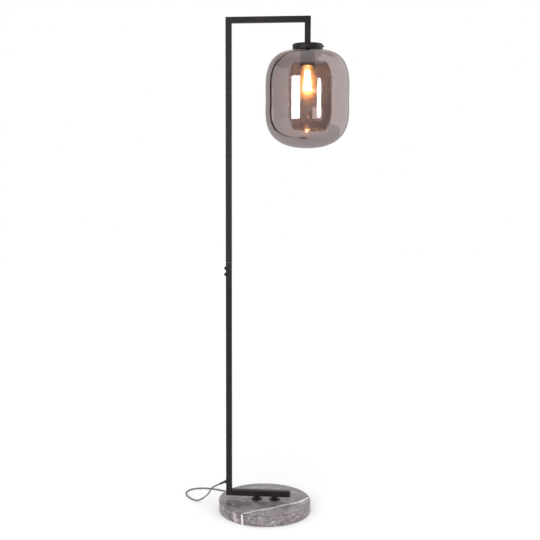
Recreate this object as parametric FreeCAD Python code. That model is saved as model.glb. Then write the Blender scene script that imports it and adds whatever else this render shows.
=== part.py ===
import FreeCAD, Part
import math
import os
from FreeCAD import Vector

# Globe floor lamp: square-tube frame on a round marble foot, smoked glass shade under a round cap.
# Millimetres. Origin at the centre of the foot's underside, +Z up, +X along the arm to the shade.

# ---- frame: square steel tube -------------------------------------------------------------
TUBE = 18.0
TUBE_WALL = 1.5
TUBE_CORNER = 1.8
TUBE_INNER = TUBE - 2 * TUBE_WALL
TUBE_INNER_CORNER = 0.6
HALF = TUBE / 2
TOP_Z = 1521.0
POLE_X = -112.3
DROP_X = 124.7
DROP_END_Z = 1439.3
FOOT_END_X = 75.7
SEAM_Z = 781.8
SEAM_GAP = 0.6
SEAM_CHAMFER = 0.7

# ---- foot: marble disc, pad and spacers ---------------------------------------------------
FOOT_R = 143.6
PAD_R = 137.6
PAD_T = 1.6
FOOT_TOP_Z = 34.6
FOOT_EDGE = 1.8
SPACER_H = 10.4
SPACER_X = (-25.1, 30.8)
SPACER_FLANGE_R = 16.8
SPACER_FLANGE_T = 3.0
SPACER_STEM_R = 7.4
BOLT_R = 2.98
BOLT_HEAD_R = 5.2
BOLT_RECESS_R = 9.0
BOLT_RECESS_TOP = 9.6
BOLT_END_Z = 56.5
WASHER_T = 1.2

# ---- joint of the two pole halves ---------------------------------------------------------
SLEEVE_BOTTOM_Z = 724.0
SLEEVE_TOP_Z = 846.0
JOINT_SCREW_Z = (763.8, 744.8)
JOINT_SCREW_R = 2.5
JOINT_HEAD_R = 5.4
JOINT_HEAD_H = 5.4

# ---- cap, gallery screws and holder -------------------------------------------------------
CAP_R = 45.2
CAP_BOTTOM_Z = 1422.3
CAP_ROOF_T = 2.5
CAP_WALL = 2.5
CAP_EDGE = 3.6
NIPPLE_R = 5.0
NIPPLE_BORE_R = 3.6
RUNNING = 0.02
GALLERY_Z = 1430.8
GALLERY_TIP = 1.9
GALLERY_ANGLES = (-8.0, -128.0, 112.0)
GALLERY_SCREW_R = 1.98
HOLDER_R = 21.6
HOLDER_WALL = 1.6
HOLDER_BOTTOM_Z = 1375.5
HOLDER_TOP_Z = 1420.3
SOCKET_ROOF_Z = 1408.4
SOCKET_R = 14.4

# ---- glass shade, heights above its lowest point ------------------------------------------
SHADE_BOTTOM_Z = 1130.2
SHADE_WALL = 3.0
SHADE_OUTLINE = ((0, 0), (73.4, 13.6), (104.7, 37.5), (121.7, 73.1), (124.9, 144.6),
                 (121.7, 225.8), (108, 259.5), (85.8, 280.3), (58.5, 289.3), (42.1, 291.3))
NECK_R = 37.1
NECK_COVE = 5.0
BEAD_Z = 302.9
BEAD_H = 2.2
BEAD_OUT = 1.6

# ---- bulb ---------------------------------------------------------------------------------
BULB_OUTLINE = ((0, 1275.3), (16.6, 1280), (27.3, 1292.5), (31.2, 1310.2), (28.9, 1329.3),
                (23, 1349.3), (17.8, 1366), (15.4, 1376.4))
BULB_WALL = 1.0
BULB_CAP_R = 13.2
BULB_CAP_WALL = 0.5
BULB_CAP_Z = (1378.2, 1401.2)
FILAMENTS = 6
FILAMENT_Z = (1302.5, 1361.0)
FILAMENT_CAGE_R = (11.2, 5.7)
STEM_TIP_Z = 1297.0

# ---- cord ---------------------------------------------------------------------------------
CORD_D = 4.8
GLAND_Z = 87.0
GLAND_TILT = 25.0
BOOT_LENGTH = 15.0
CORD_FIRST_RUN = 22.0
CORD_ROUTE = ((-171.9, 13.3, 57.2), (-178.7, 28.6, 39.4), (-190.4, 36.7, 23.8), (-207.3, 36.9, 12.1),
              (-223.8, 48, 2.45), (-239.4, 60.8, 2.45), (-254, 78.2, 2.45), (-265.1, 99.7, 2.45),
              (-269, 124.6, 2.45), (-260, 148, 2.45), (-239.5, 161.9, 2.45), (-211.7, 166.2, 2.45),
              (-180.8, 161.2, 2.45), (-151.8, 150, 2.45), (-124.9, 135.5, 2.6))
CORD_LAST_RUN = 28.0
HANK_RUN = 72.0
HANK_PITCH = 5.5
HANK_INNER = 14.65
HANK_LOOPS = 3
HANK_WAIST = 4.0
HANK_LAYERS_Z = (3.4, 8.7)
HANK_DISTANCE = 174.1
HANK_ANGLE = -15.0
HANK_TILT = 5.0
TIE_WIDTH = 8.0
TIE_T = 0.8
PLUG_DISTANCE = 165.0
PLUG_ANGLE = 34.0
PLUG_AXIS_Z = 6.9
PLUG_BODY = (34.0, 35.2, 13.7)
PLUG_SLEEVE = 12.0
PIN_R = 2.0
PIN_LENGTH = 19.0
PIN_SPACING = 19.0
TAIL_RUNS = (16.0, 29.0)


# ---- shared operations --------------------------------------------------------------------
def rounded_wire(points, radii, closed=False):
    """Straight runs joined by tangent arcs; a radius of 0 keeps the corner sharp."""
    count = len(points)
    corners = range(count) if closed else range(1, count - 1)
    arrive = list(points)
    middle = [None] * count
    leave = list(points)
    for i in corners:
        if radii[i] <= 0:
            continue
        back = (points[i - 1] - points[i]).normalize()
        ahead = (points[(i + 1) % count] - points[i]).normalize()
        half_turn = (math.pi - back.getAngle(ahead)) / 2
        arrive[i] = points[i] + back * (radii[i] * math.tan(half_turn))
        leave[i] = points[i] + ahead * (radii[i] * math.tan(half_turn))
        inward = (back + ahead).normalize()
        middle[i] = points[i] + inward * (radii[i] / math.cos(half_turn) - radii[i])
    edges = []
    for i in range(count):
        if middle[i] is not None:
            edges.append(Part.Arc(arrive[i], middle[i], leave[i]).toShape())
        if i < count - 1 or closed:
            following = arrive[(i + 1) % count]
            if leave[i].distanceToPoint(following) > 1e-6:
                edges.append(Part.LineSegment(leave[i], following).toShape())
    return Part.Wire(edges)


def turned(outline, x=0.0, y=0.0):
    """A body of revolution about the vertical at (x, y); outline is (radius, z, corner radius)."""
    points = [Vector(r, 0, z) for r, z, _ in outline]
    wire = rounded_wire(points, [corner for _, _, corner in outline], closed=True)
    body = Part.Face(wire).revolve(Vector(0, 0, 0), Vector(0, 0, 1), 360)
    body.translate(Vector(x, y, 0))
    return body


def ring(inner_r, outer_r, low, high, x=0.0, y=0.0):
    """A plain ring, or a disc where inner_r is 0."""
    return turned([(inner_r, low, 0), (outer_r, low, 0), (outer_r, high, 0), (inner_r, high, 0)], x, y)


def aim(shape, place, direction):
    """Turn a shape built along +Z so that it points along direction, and put it at place."""
    moved = shape.copy()
    turn = FreeCAD.Rotation(Vector(0, 0, 1), direction)
    moved.Placement = FreeCAD.Placement(place, turn)
    return moved


def cylinder_between(start, end, radius):
    """A round bar from start to end."""
    return Part.makeCylinder(radius, start.distanceToPoint(end), start, end - start)


def rounded_rectangle(width, height, corner):
    """A closed outline in the XY plane, centred on the origin."""
    w = width / 2
    h = height / 2
    points = [Vector(-w, -h, 0), Vector(w, -h, 0), Vector(w, h, 0), Vector(-w, h, 0)]
    return rounded_wire(points, [corner] * 4, closed=True)


def swept(path, section, start, direction, corners_sharp=False):
    """One solid along a path; corners_sharp mitres the section at the path's corners."""
    profile = aim(section, start, direction)
    transition = 1 if corners_sharp else 0
    return Part.Wire(path.Edges).makePipeShell([Part.Wire(profile.Edges)], True, False, transition)


def skin_edges(points, wall, start_direction, end_direction):
    """The outer and inner curve of blown glass, one wall apart, through the outer points."""
    outer = Part.BSplineCurve()
    outer.interpolate(Points=points, InitialTangent=start_direction, FinalTangent=end_direction)
    shifted = []
    for point in points:
        along = outer.tangent(outer.parameter(point))[0]
        shifted.append(point + Vector(-along.z, 0, along.x).normalize() * wall)
    inner = Part.BSplineCurve()
    inner.interpolate(Points=shifted, InitialTangent=start_direction, FinalTangent=end_direction)
    return outer.toShape(), inner.toShape(), shifted


# ---- frame --------------------------------------------------------------------------------
def square_tube(points):
    """A mitred square tube along straight runs."""
    path = Part.makePolygon(points)
    direction = points[1] - points[0]
    outer = swept(path, rounded_rectangle(TUBE, TUBE, TUBE_CORNER), points[0], direction, True)
    bore = rounded_rectangle(TUBE_INNER, TUBE_INNER, TUBE_INNER_CORNER)
    return outer.cut(swept(path, bore, points[0], direction, True))


def seam_chamfer(z, upward):
    """The ring that is taken off the tube's outer edges where the two pole halves meet."""
    size = TUBE + 2
    lip = 2 * SEAM_CHAMFER
    block = Part.makeBox(size, size, SEAM_CHAMFER, Vector(POLE_X - size / 2, -size / 2, 0))
    wide = rounded_rectangle(TUBE, TUBE, TUBE_CORNER)
    narrow = rounded_rectangle(TUBE - lip, TUBE - lip, TUBE_CORNER - 0.5)
    wide.translate(Vector(POLE_X, 0, 0 if upward else SEAM_CHAMFER))
    narrow.translate(Vector(POLE_X, 0, SEAM_CHAMFER if upward else 0))
    cutter = block.cut(Part.makeLoft([wide, narrow], True, True))
    cutter.translate(Vector(0, 0, z - SEAM_CHAMFER if upward else z))
    return cutter


def lower_frame():
    """Foot bar and lower half of the pole."""
    foot_z = FOOT_TOP_Z + SPACER_H + HALF
    corner = Vector(POLE_X, 0, foot_z)
    frame = square_tube([Vector(FOOT_END_X, 0, foot_z), corner, Vector(POLE_X, 0, SEAM_Z)])
    frame = frame.cut(seam_chamfer(SEAM_Z, True))
    wall_x = POLE_X - HALF - 1
    for z in JOINT_SCREW_Z:
        hole = Part.makeCylinder(JOINT_SCREW_R + 0.3, TUBE_WALL + 2, Vector(wall_x, 0, z), Vector(1, 0, 0))
        frame = frame.cut(hole)
    frame = frame.cut(Part.makeCylinder(5.0, TUBE_WALL + 2, Vector(wall_x, 0, GLAND_Z), Vector(1, 0, 0)))
    for x in SPACER_X:
        frame = frame.cut(Part.makeCylinder(4.5, 4, Vector(x, 0, FOOT_TOP_Z + SPACER_H - 1)))
    return frame


def upper_frame():
    """Upper half of the pole, arm and drop tube."""
    arm_z = TOP_Z - HALF
    seam = SEAM_Z + SEAM_GAP
    points = [Vector(POLE_X, 0, seam), Vector(POLE_X, 0, arm_z), Vector(DROP_X, 0, arm_z),
              Vector(DROP_X, 0, DROP_END_Z)]
    return square_tube(points).cut(seam_chamfer(seam, False))


def foot_end_plug():
    """Ribbed plug that closes the foot bar's free end."""
    head_t = 5.0
    stem_length = 15.0
    head = Part.makeBox(TUBE, TUBE, head_t, Vector(-HALF, -HALF, 0))
    upright = [e for e in head.Edges if abs(e.tangentAt(e.FirstParameter).z) > 0.9]
    head = head.makeFillet(TUBE_CORNER, upright)
    rim = [e for e in head.Edges if e.BoundBox.ZMin > head_t - 0.01]
    head = head.makeFillet(1.2, rim)
    core = Part.makeBox(TUBE_INNER - 3, TUBE_INNER - 3, stem_length,
                        Vector(-TUBE_INNER / 2 + 1.5, -TUBE_INNER / 2 + 1.5, -stem_length))
    hollow = Part.makeBox(TUBE_INNER - 6, TUBE_INNER - 6, stem_length,
                          Vector(-TUBE_INNER / 2 + 3, -TUBE_INNER / 2 + 3, -stem_length - 1))
    plug = head.fuse(core).cut(hollow)
    for level in (4.0, 8.0, 12.0):
        fin = rounded_rectangle(TUBE_INNER, TUBE_INNER, TUBE_INNER_CORNER)
        fin = Part.Face(fin).extrude(Vector(0, 0, 1.0))
        fin.translate(Vector(0, 0, -level))
        plug = plug.fuse(fin.cut(hollow))
    return aim(plug, Vector(FOOT_END_X, 0, FOOT_TOP_Z + SPACER_H + HALF), Vector(1, 0, 0))


def joint_sleeve():
    """Inner tube of the seam: tight in the upper half, sliding in the lower half."""
    slack = 0.1
    wall = 1.6
    lower = Part.Face(rounded_rectangle(TUBE_INNER - 2 * slack, TUBE_INNER - 2 * slack, 0.6))
    upper = Part.Face(rounded_rectangle(TUBE_INNER, TUBE_INNER, TUBE_INNER_CORNER))
    bore = Part.Face(rounded_rectangle(TUBE_INNER - 2 * wall, TUBE_INNER - 2 * wall, 0.6))
    split = SEAM_Z + SEAM_GAP
    lower = lower.extrude(Vector(0, 0, split - SLEEVE_BOTTOM_Z))
    upper = upper.extrude(Vector(0, 0, SLEEVE_TOP_Z - split))
    bore = bore.extrude(Vector(0, 0, SLEEVE_TOP_Z - SLEEVE_BOTTOM_Z + 2))
    lower.translate(Vector(POLE_X, 0, SLEEVE_BOTTOM_Z))
    upper.translate(Vector(POLE_X, 0, split))
    bore.translate(Vector(POLE_X, 0, SLEEVE_BOTTOM_Z - 1))
    sleeve = lower.fuse(upper).cut(bore)
    for z in JOINT_SCREW_Z:
        thread = Part.makeCylinder(JOINT_SCREW_R + RUNNING, 6, Vector(POLE_X - HALF, 0, z), Vector(1, 0, 0))
        sleeve = sleeve.cut(thread)
    return sleeve


def joint_screws():
    """Two dome-headed screws with a hexagon socket, on the pole's left side."""
    screws = []
    for z in JOINT_SCREW_Z:
        dome = turned([(0, 0, 0), (JOINT_HEAD_R, 0, 0), (JOINT_HEAD_R, 2.2, 1.6),
                       (3.4, JOINT_HEAD_H, 1.0), (0, JOINT_HEAD_H, 0)])
        shank = Part.makeCylinder(JOINT_SCREW_R, 5.5, Vector(0, 0, -5.5))
        corners = [Vector(1.6 * math.cos(math.radians(60 * i)), 1.6 * math.sin(math.radians(60 * i)), 3.4)
                   for i in range(7)]
        socket = Part.Face(Part.makePolygon(corners)).extrude(Vector(0, 0, 3))
        screw = dome.fuse(shank).cut(socket)
        screws.append(aim(screw, Vector(POLE_X - HALF, 0, z), Vector(-1, 0, 0)))
    return Part.makeCompound(screws)


def drop_insert():
    """Threaded block welded into the drop tube's end, bored for the nipple."""
    block = Part.Face(rounded_rectangle(TUBE_INNER, TUBE_INNER, TUBE_INNER_CORNER)).extrude(Vector(0, 0, 12))
    block.translate(Vector(DROP_X, 0, DROP_END_Z))
    return block.cut(Part.makeCylinder(NIPPLE_R + RUNNING, 14, Vector(DROP_X, 0, DROP_END_Z - 1)))


# ---- foot ---------------------------------------------------------------------------------
def marble_base():
    """Round marble foot with eased edges and two recessed bolt holes."""
    disc = turned([(0, PAD_T, 0), (FOOT_R, PAD_T, 1.0), (FOOT_R, FOOT_TOP_Z, FOOT_EDGE), (0, FOOT_TOP_Z, 0)])
    for x in SPACER_X:
        disc = disc.cut(Part.makeCylinder(BOLT_RECESS_R, BOLT_RECESS_TOP, Vector(x, 0, 0)))
        disc = disc.cut(Part.makeCylinder(BOLT_R + 0.6, FOOT_TOP_Z, Vector(x, 0, 1)))
    return disc


def base_pad():
    """Felt pad that covers the underside."""
    return turned([(0, 0, 0), (PAD_R, 0, 0.4), (PAD_R, PAD_T, 0), (0, PAD_T, 0)])


def spacer(x):
    """Flanged spacer that carries the foot bar above the marble."""
    top = FOOT_TOP_Z + SPACER_H
    flange_top = FOOT_TOP_Z + SPACER_FLANGE_T
    return turned([(BOLT_R + 0.3, FOOT_TOP_Z, 0), (SPACER_FLANGE_R, FOOT_TOP_Z, 0),
                   (SPACER_FLANGE_R, flange_top, 1.0), (SPACER_STEM_R, flange_top, 1.6),
                   (SPACER_STEM_R, top, 0.4), (BOLT_R + 0.3, top, 0)], x)


def base_bolts():
    """Two pan-head bolts up through the marble and the spacers."""
    bolts = []
    for x in SPACER_X:
        low = BOLT_RECESS_TOP - WASHER_T
        bolts.append(turned([(0, low - 3.4, 0), (BOLT_HEAD_R, low - 3.4, 1.4), (BOLT_HEAD_R, low, 0),
                             (BOLT_R, low, 0), (BOLT_R, BOLT_END_Z, 0.8), (0, BOLT_END_Z, 0)], x))
    return Part.makeCompound(bolts)


def base_washers():
    """Washers between the bolt heads and the marble."""
    low = BOLT_RECESS_TOP - WASHER_T
    return Part.makeCompound([ring(BOLT_R + 0.3, 7.5, low, BOLT_RECESS_TOP, x) for x in SPACER_X])


def foot_inserts():
    """Threaded inserts set in the foot bar's lower wall."""
    wall_low = FOOT_TOP_Z + SPACER_H
    wall_top = wall_low + TUBE_WALL
    bore = BOLT_R + RUNNING
    inserts = [turned([(bore, wall_low, 0), (4.5, wall_low, 0), (4.5, wall_top, 0), (6.0, wall_top, 0),
                       (6.0, wall_top + 2, 0.8), (4.6, wall_top + 8, 0), (bore, wall_top + 8, 0)], x)
               for x in SPACER_X]
    return Part.makeCompound(inserts)


# ---- cap and lamp holder ------------------------------------------------------------------
def radial(angle):
    """Unit vector in plan at an angle from +X."""
    return Vector(math.cos(math.radians(angle)), math.sin(math.radians(angle)), 0)


def shade_cap():
    """Round cap: flat roof, eased rim, three tapped holes for the gallery screws."""
    inner = CAP_R - CAP_WALL
    roof = DROP_END_Z - CAP_ROOF_T
    cap = turned([(NIPPLE_R + 0.1, roof, 0), (inner, roof, 1.2), (inner, CAP_BOTTOM_Z, 0),
                  (CAP_R, CAP_BOTTOM_Z, 1.0), (CAP_R, DROP_END_Z, CAP_EDGE), (NIPPLE_R + 0.1, DROP_END_Z, 0)],
                 DROP_X)
    axis_point = Vector(DROP_X, 0, GALLERY_Z)
    for angle in GALLERY_ANGLES:
        start = axis_point + radial(angle) * (inner - 2)
        cap = cap.cut(Part.makeCylinder(GALLERY_SCREW_R + RUNNING, CAP_WALL + 4, start, radial(angle)))
    return cap


def gallery_screw(angle):
    """Thumb screw with a tapered slotted head."""
    start = NECK_R + 0.3 + GALLERY_TIP
    seat = CAP_R + 0.4
    end = CAP_R + 3.6
    body = turned([(0, start, 0), (GALLERY_SCREW_R, start, 0), (GALLERY_SCREW_R, seat, 0),
                   (3.5, seat, 0.5), (2.0, end, 0.5), (0, end, 0)])
    slot = Part.makeBox(5, 0.8, 1.2, Vector(-2.5, -0.4, end - 1.0))
    return aim(body.cut(slot), Vector(DROP_X, 0, GALLERY_Z), radial(angle))


def screw_tip(angle):
    """Soft tip at the screw's inner end, which bears on the glass neck under its bead."""
    start = NECK_R + 0.3
    end = start + GALLERY_TIP
    tip = turned([(0, start, 0), (1.9, start, 0.6), (1.9, end, 0), (0, end, 0)])
    return aim(tip, Vector(DROP_X, 0, GALLERY_Z), radial(angle))


def cap_nipple():
    """Hollow threaded nipple from the drop tube through the cap into the holder."""
    return ring(NIPPLE_BORE_R, NIPPLE_R, HOLDER_TOP_Z - 1.9, DROP_END_Z + 11, DROP_X)


def nipple_nut():
    """Hexagon nut that clamps the cap to the drop tube."""
    across_corners = 17.0 / math.cos(math.radians(30)) / 2
    low = DROP_END_Z - CAP_ROOF_T - 4.0
    corners = [radial(60 * i) * across_corners + Vector(DROP_X, 0, low) for i in range(7)]
    nut = Part.Face(Part.makePolygon(corners)).extrude(Vector(0, 0, 4.0))
    return nut.cut(Part.makeCylinder(NIPPLE_R + RUNNING, 6, Vector(DROP_X, 0, low - 1)))


def shade_gasket():
    """Soft ring under the cap's roof, above the glass neck."""
    roof = DROP_END_Z - CAP_ROOF_T
    return turned([(NECK_R - 2.6, roof - 1.2, 0.4), (NECK_R + 1.4, roof - 1.2, 0.4), (NECK_R + 1.4, roof, 0),
                   (NECK_R - 2.6, roof, 0)], DROP_X)


def holder_cover():
    """Outer shell of the lamp holder, with a collar on the nipple."""
    inner = HOLDER_R - HOLDER_WALL
    top = HOLDER_TOP_Z
    bore = NIPPLE_R + RUNNING
    return turned([(bore, top - HOLDER_WALL, 0), (inner, top - HOLDER_WALL, 1.5), (inner, HOLDER_BOTTOM_Z, 0),
                   (HOLDER_R, HOLDER_BOTTOM_Z, 0.7), (HOLDER_R, top, 3.0), (7.4, top, 0.8),
                   (7.4, top + 7, 0.8), (bore, top + 7, 0)], DROP_X)


def holder_core():
    """Insulating body of the holder: roof disc and the skirt round the threaded sleeve."""
    roof = HOLDER_TOP_Z - HOLDER_WALL - 0.5
    inner = HOLDER_R - HOLDER_WALL
    low = SOCKET_ROOF_Z
    skirt_r = SOCKET_R + 3.0
    return turned([(0, low, 0), (SOCKET_R, low, 0), (SOCKET_R, low - 28.8, 0), (skirt_r, low - 28.8, 0.8),
                   (skirt_r, low - 3.3, 0.8), (inner, low - 1.3, 0), (inner, roof - 2, 1.0), (6, roof, 0),
                   (0, roof, 0)], DROP_X)


def holder_shell():
    """Threaded metal sleeve that takes the bulb's cap."""
    return ring(SOCKET_R - 0.8, SOCKET_R, SOCKET_ROOF_Z - 27.8, SOCKET_ROOF_Z - 2.3, DROP_X)


def holder_contact():
    """Spring tongue over the bulb's centre contact."""
    strip = Part.makeBox(12, 5, 0.6, Vector(DROP_X - 6, -2.5, SOCKET_ROOF_Z - 0.6))
    rivet = Part.makeCylinder(1.2, 0.3, Vector(DROP_X + 4, 0, SOCKET_ROOF_Z - 0.9))
    return strip.fuse(rivet)


def inner_lead():
    """The lead inside the tubes, from the strain relief up the pole to the lamp holder."""
    start = Vector(POLE_X - 5.9, 0, GLAND_Z)
    arm_z = TOP_Z - HALF
    points = [start, Vector(POLE_X, 0, GLAND_Z), Vector(POLE_X, 0, arm_z), Vector(DROP_X, 0, arm_z),
              Vector(DROP_X, 0, HOLDER_TOP_Z - HOLDER_WALL - 0.5)]
    path = rounded_wire(points, [0, 5.5, 7.2, 7.2, 0])
    section = Part.Wire([Part.makeCircle(CORD_D / 2)])
    return swept(path, section, start, Vector(1, 0, 0))


# ---- glass shade --------------------------------------------------------------------------
def glass_shade():
    """Blown glass: full rounded body, drawn in to a short neck with a bead at its rim."""
    points = [Vector(r, 0, z) for r, z in SHADE_OUTLINE]
    outer, inner, shifted = skin_edges(points, SHADE_WALL, Vector(1, 0, 0), Vector(-1, 0, 0.03))
    shoulder = points[-1]
    cove_z = shoulder.z + NECK_COVE
    bore = NECK_R - SHADE_WALL
    axis_x = NECK_R + NECK_COVE
    mid = math.sqrt(0.5)
    outer_cove = Part.Arc(shoulder, Vector(axis_x - NECK_COVE * mid, 0, cove_z - NECK_COVE * mid),
                          Vector(NECK_R, 0, cove_z))
    reach = NECK_COVE + SHADE_WALL
    inner_cove = Part.Arc(shifted[-1], Vector(axis_x - reach * mid, 0, cove_z - reach * mid),
                          Vector(bore, 0, cove_z))
    bead_low = Vector(NECK_R, 0, BEAD_Z)
    bead_top = Vector(NECK_R, 0, BEAD_Z + BEAD_H)
    bead = Part.Arc(bead_low, Vector(NECK_R + BEAD_OUT, 0, BEAD_Z + BEAD_H / 2), bead_top)
    rim = Vector(bore, 0, BEAD_Z + BEAD_H)
    edges = [outer, outer_cove.toShape(), Part.LineSegment(Vector(NECK_R, 0, cove_z), bead_low).toShape(),
             bead.toShape(), Part.LineSegment(bead_top, rim).toShape(),
             Part.LineSegment(rim, Vector(bore, 0, cove_z)).toShape(), inner_cove.toShape(), inner,
             Part.LineSegment(shifted[0], points[0]).toShape()]
    glass = Part.Face(Part.Wire(Part.__sortEdges__(edges)))
    glass = glass.revolve(Vector(0, 0, 0), Vector(0, 0, 1), 360)
    glass.translate(Vector(DROP_X, 0, SHADE_BOTTOM_Z))
    return glass


# ---- bulb ---------------------------------------------------------------------------------
def bulb_glass():
    """Teardrop envelope with its neck seated in the screw cap."""
    points = [Vector(r, 0, z) for r, z in BULB_OUTLINE]
    outer, inner, shifted = skin_edges(points, BULB_WALL, Vector(1, 0, 0), Vector(-0.14, 0, 1))
    neck_r = BULB_CAP_R - BULB_CAP_WALL
    neck = [points[-1], Vector(neck_r, 0, BULB_CAP_Z[0] + 1), Vector(neck_r, 0, BULB_CAP_Z[0] + 7),
            Vector(neck_r - BULB_WALL, 0, BULB_CAP_Z[0] + 7), Vector(neck_r - BULB_WALL, 0, BULB_CAP_Z[0] + 0.6),
            shifted[-1]]
    edges = [outer, inner, Part.LineSegment(shifted[0], points[0]).toShape()]
    for low, high in zip(neck[:-1], neck[1:]):
        edges.append(Part.LineSegment(low, high).toShape())
    glass = Part.Face(Part.Wire(Part.__sortEdges__(edges)))
    glass = glass.revolve(Vector(0, 0, 0), Vector(0, 0, 1), 360)
    glass.translate(Vector(DROP_X, 0, 0))
    return glass


def bulb_cap():
    """Thin metal screw cap."""
    low, high = BULB_CAP_Z
    inner = BULB_CAP_R - BULB_CAP_WALL
    return turned([(inner, low + 1, 0), (BULB_CAP_R + 0.1, low + 1, 0), (BULB_CAP_R, high, 0), (9.6, high + 3, 0),
                   (9.0, high + 3, 0), (inner, high - 0.4, 0)], DROP_X)


def bulb_insulator():
    """Dark glass plug at the cap's end."""
    high = BULB_CAP_Z[1]
    return turned([(0, high + 2, 0), (9.0, high + 2, 0), (9.0, high + 3, 0), (9.6, high + 3, 0),
                   (5.2, high + 5, 0), (0, high + 5, 0)], DROP_X)


def bulb_contact():
    """Centre contact of the bulb."""
    high = BULB_CAP_Z[1] + 5
    return turned([(0, high, 0), (4.9, high, 0), (3.6, high + 1.1, 0.6), (0, high + 1.1, 0)], DROP_X)


def bulb_stem():
    """Glass stem: flared foot in the cap, pinch and the long rod that carries the filaments."""
    flare = BULB_CAP_R - BULB_CAP_WALL - BULB_WALL
    top = BULB_CAP_Z[0] + 7
    tip = STEM_TIP_Z
    return turned([(0, top, 0), (flare, top, 0), (flare, top - 1.2, 0), (6.0, top - 5, 3), (4.2, top - 24, 1.5),
                   (1.4, top - 28, 0.8), (1.4, tip + 3.5, 0), (2.6, tip + 2, 0.6), (0, tip, 0)], DROP_X)


def filament_ends(index):
    """Top and bottom point of one filament of the cage."""
    around = radial(360.0 * index / FILAMENTS + 15)
    bottom = Vector(DROP_X, 0, FILAMENT_Z[0]) + around * FILAMENT_CAGE_R[0]
    top = Vector(DROP_X, 0, FILAMENT_Z[1]) + around * FILAMENT_CAGE_R[1]
    return top, bottom


def filaments():
    """Glowing rods that spread downwards like a cage."""
    rods = [cylinder_between(*filament_ends(i), 0.9) for i in range(FILAMENTS)]
    return Part.makeCompound(rods)


def filament_wires():
    """Support wires from the filaments' ends to the stem."""
    wires = []
    for i in range(FILAMENTS):
        top, bottom = filament_ends(i)
        hub = Vector(DROP_X, 0, STEM_TIP_Z + 2)
        outward = (bottom - hub).normalize()
        wires.append(cylinder_between(hub + outward * 2.2, bottom + outward * 0.2, 0.35))
        root = Vector(DROP_X, 0, FILAMENT_Z[1] + 6)
        outward = (top - root).normalize()
        wires.append(cylinder_between(root + outward * 3.0, top + outward * 0.2, 0.35))
    return Part.makeCompound(wires)


# ---- cord ---------------------------------------------------------------------------------
def boot_direction():
    """The way the cord leaves the strain relief."""
    tilt = math.radians(GLAND_TILT)
    return Vector(-math.cos(tilt), 0, -math.sin(tilt))


def cord_exit():
    """Centre of the strain relief's end face."""
    return Vector(POLE_X - HALF - 2.6, 0, GLAND_Z) + boot_direction() * BOOT_LENGTH


def cord_gland():
    """Snap-in strain relief: lip and barrel in the tube wall, flange and tapered boot outside."""
    barrel = turned([(0, 0, 0), (6.0, 0, 0), (6.0, -2.6, 0.8), (4.95, -2.6, 0), (4.95, -4.1, 0),
                     (5.8, -4.1, 0), (4.9, -5.5, 0), (0, -5.5, 0)])
    face = Vector(POLE_X - HALF - 2.6, 0, GLAND_Z)
    barrel = aim(barrel, face, Vector(-1, 0, 0))
    boot = turned([(0, -1.6, 0), (4.3, -1.6, 0), (4.3, 1, 0), (3.1, BOOT_LENGTH, 0), (0, BOOT_LENGTH, 0)])
    boot = aim(boot, face, boot_direction())
    return barrel.fuse(boot).removeSplitter()


def bend_radii(points):
    """The largest tangent arcs that uneven runs allow, for points without given radii."""
    radii = [0.0] * len(points)
    for i in range(1, len(points) - 1):
        back = points[i - 1] - points[i]
        ahead = points[i + 1] - points[i]
        half_turn = (math.pi - back.getAngle(ahead)) / 2
        radii[i] = 0.45 * min(back.Length, ahead.Length) / math.tan(half_turn)
    return radii


def cord_tube(points, radii, label):
    """A round tube along a route; prints its radii and its volume against section times length."""
    path = rounded_wire(points, radii)
    section = Part.Wire([Part.makeCircle(CORD_D / 2)])
    tube = swept(path, section, points[0], points[1] - points[0])
    expected = math.pi * (CORD_D / 2) ** 2 * path.Length
    bends = [radius for radius in radii if radius > 0]
    print(label, "length", round(path.Length, 1), "tightest radius", round(min(bends), 1),
          "radii", [round(radius) for radius in bends], "volume ratio", round(tube.Volume / expected, 4))
    return tube, path


def hank_place(along, across, z):
    """A point of the hank's own frame, put behind the foot."""
    polar = math.radians(HANK_ANGLE)
    turn = math.radians(HANK_TILT - HANK_ANGLE)
    x = HANK_DISTANCE * math.sin(polar) + along * math.cos(turn) - across * math.sin(turn)
    y = HANK_DISTANCE * math.cos(polar) + along * math.sin(turn) + across * math.cos(turn)
    return Vector(x, y, z)


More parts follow.
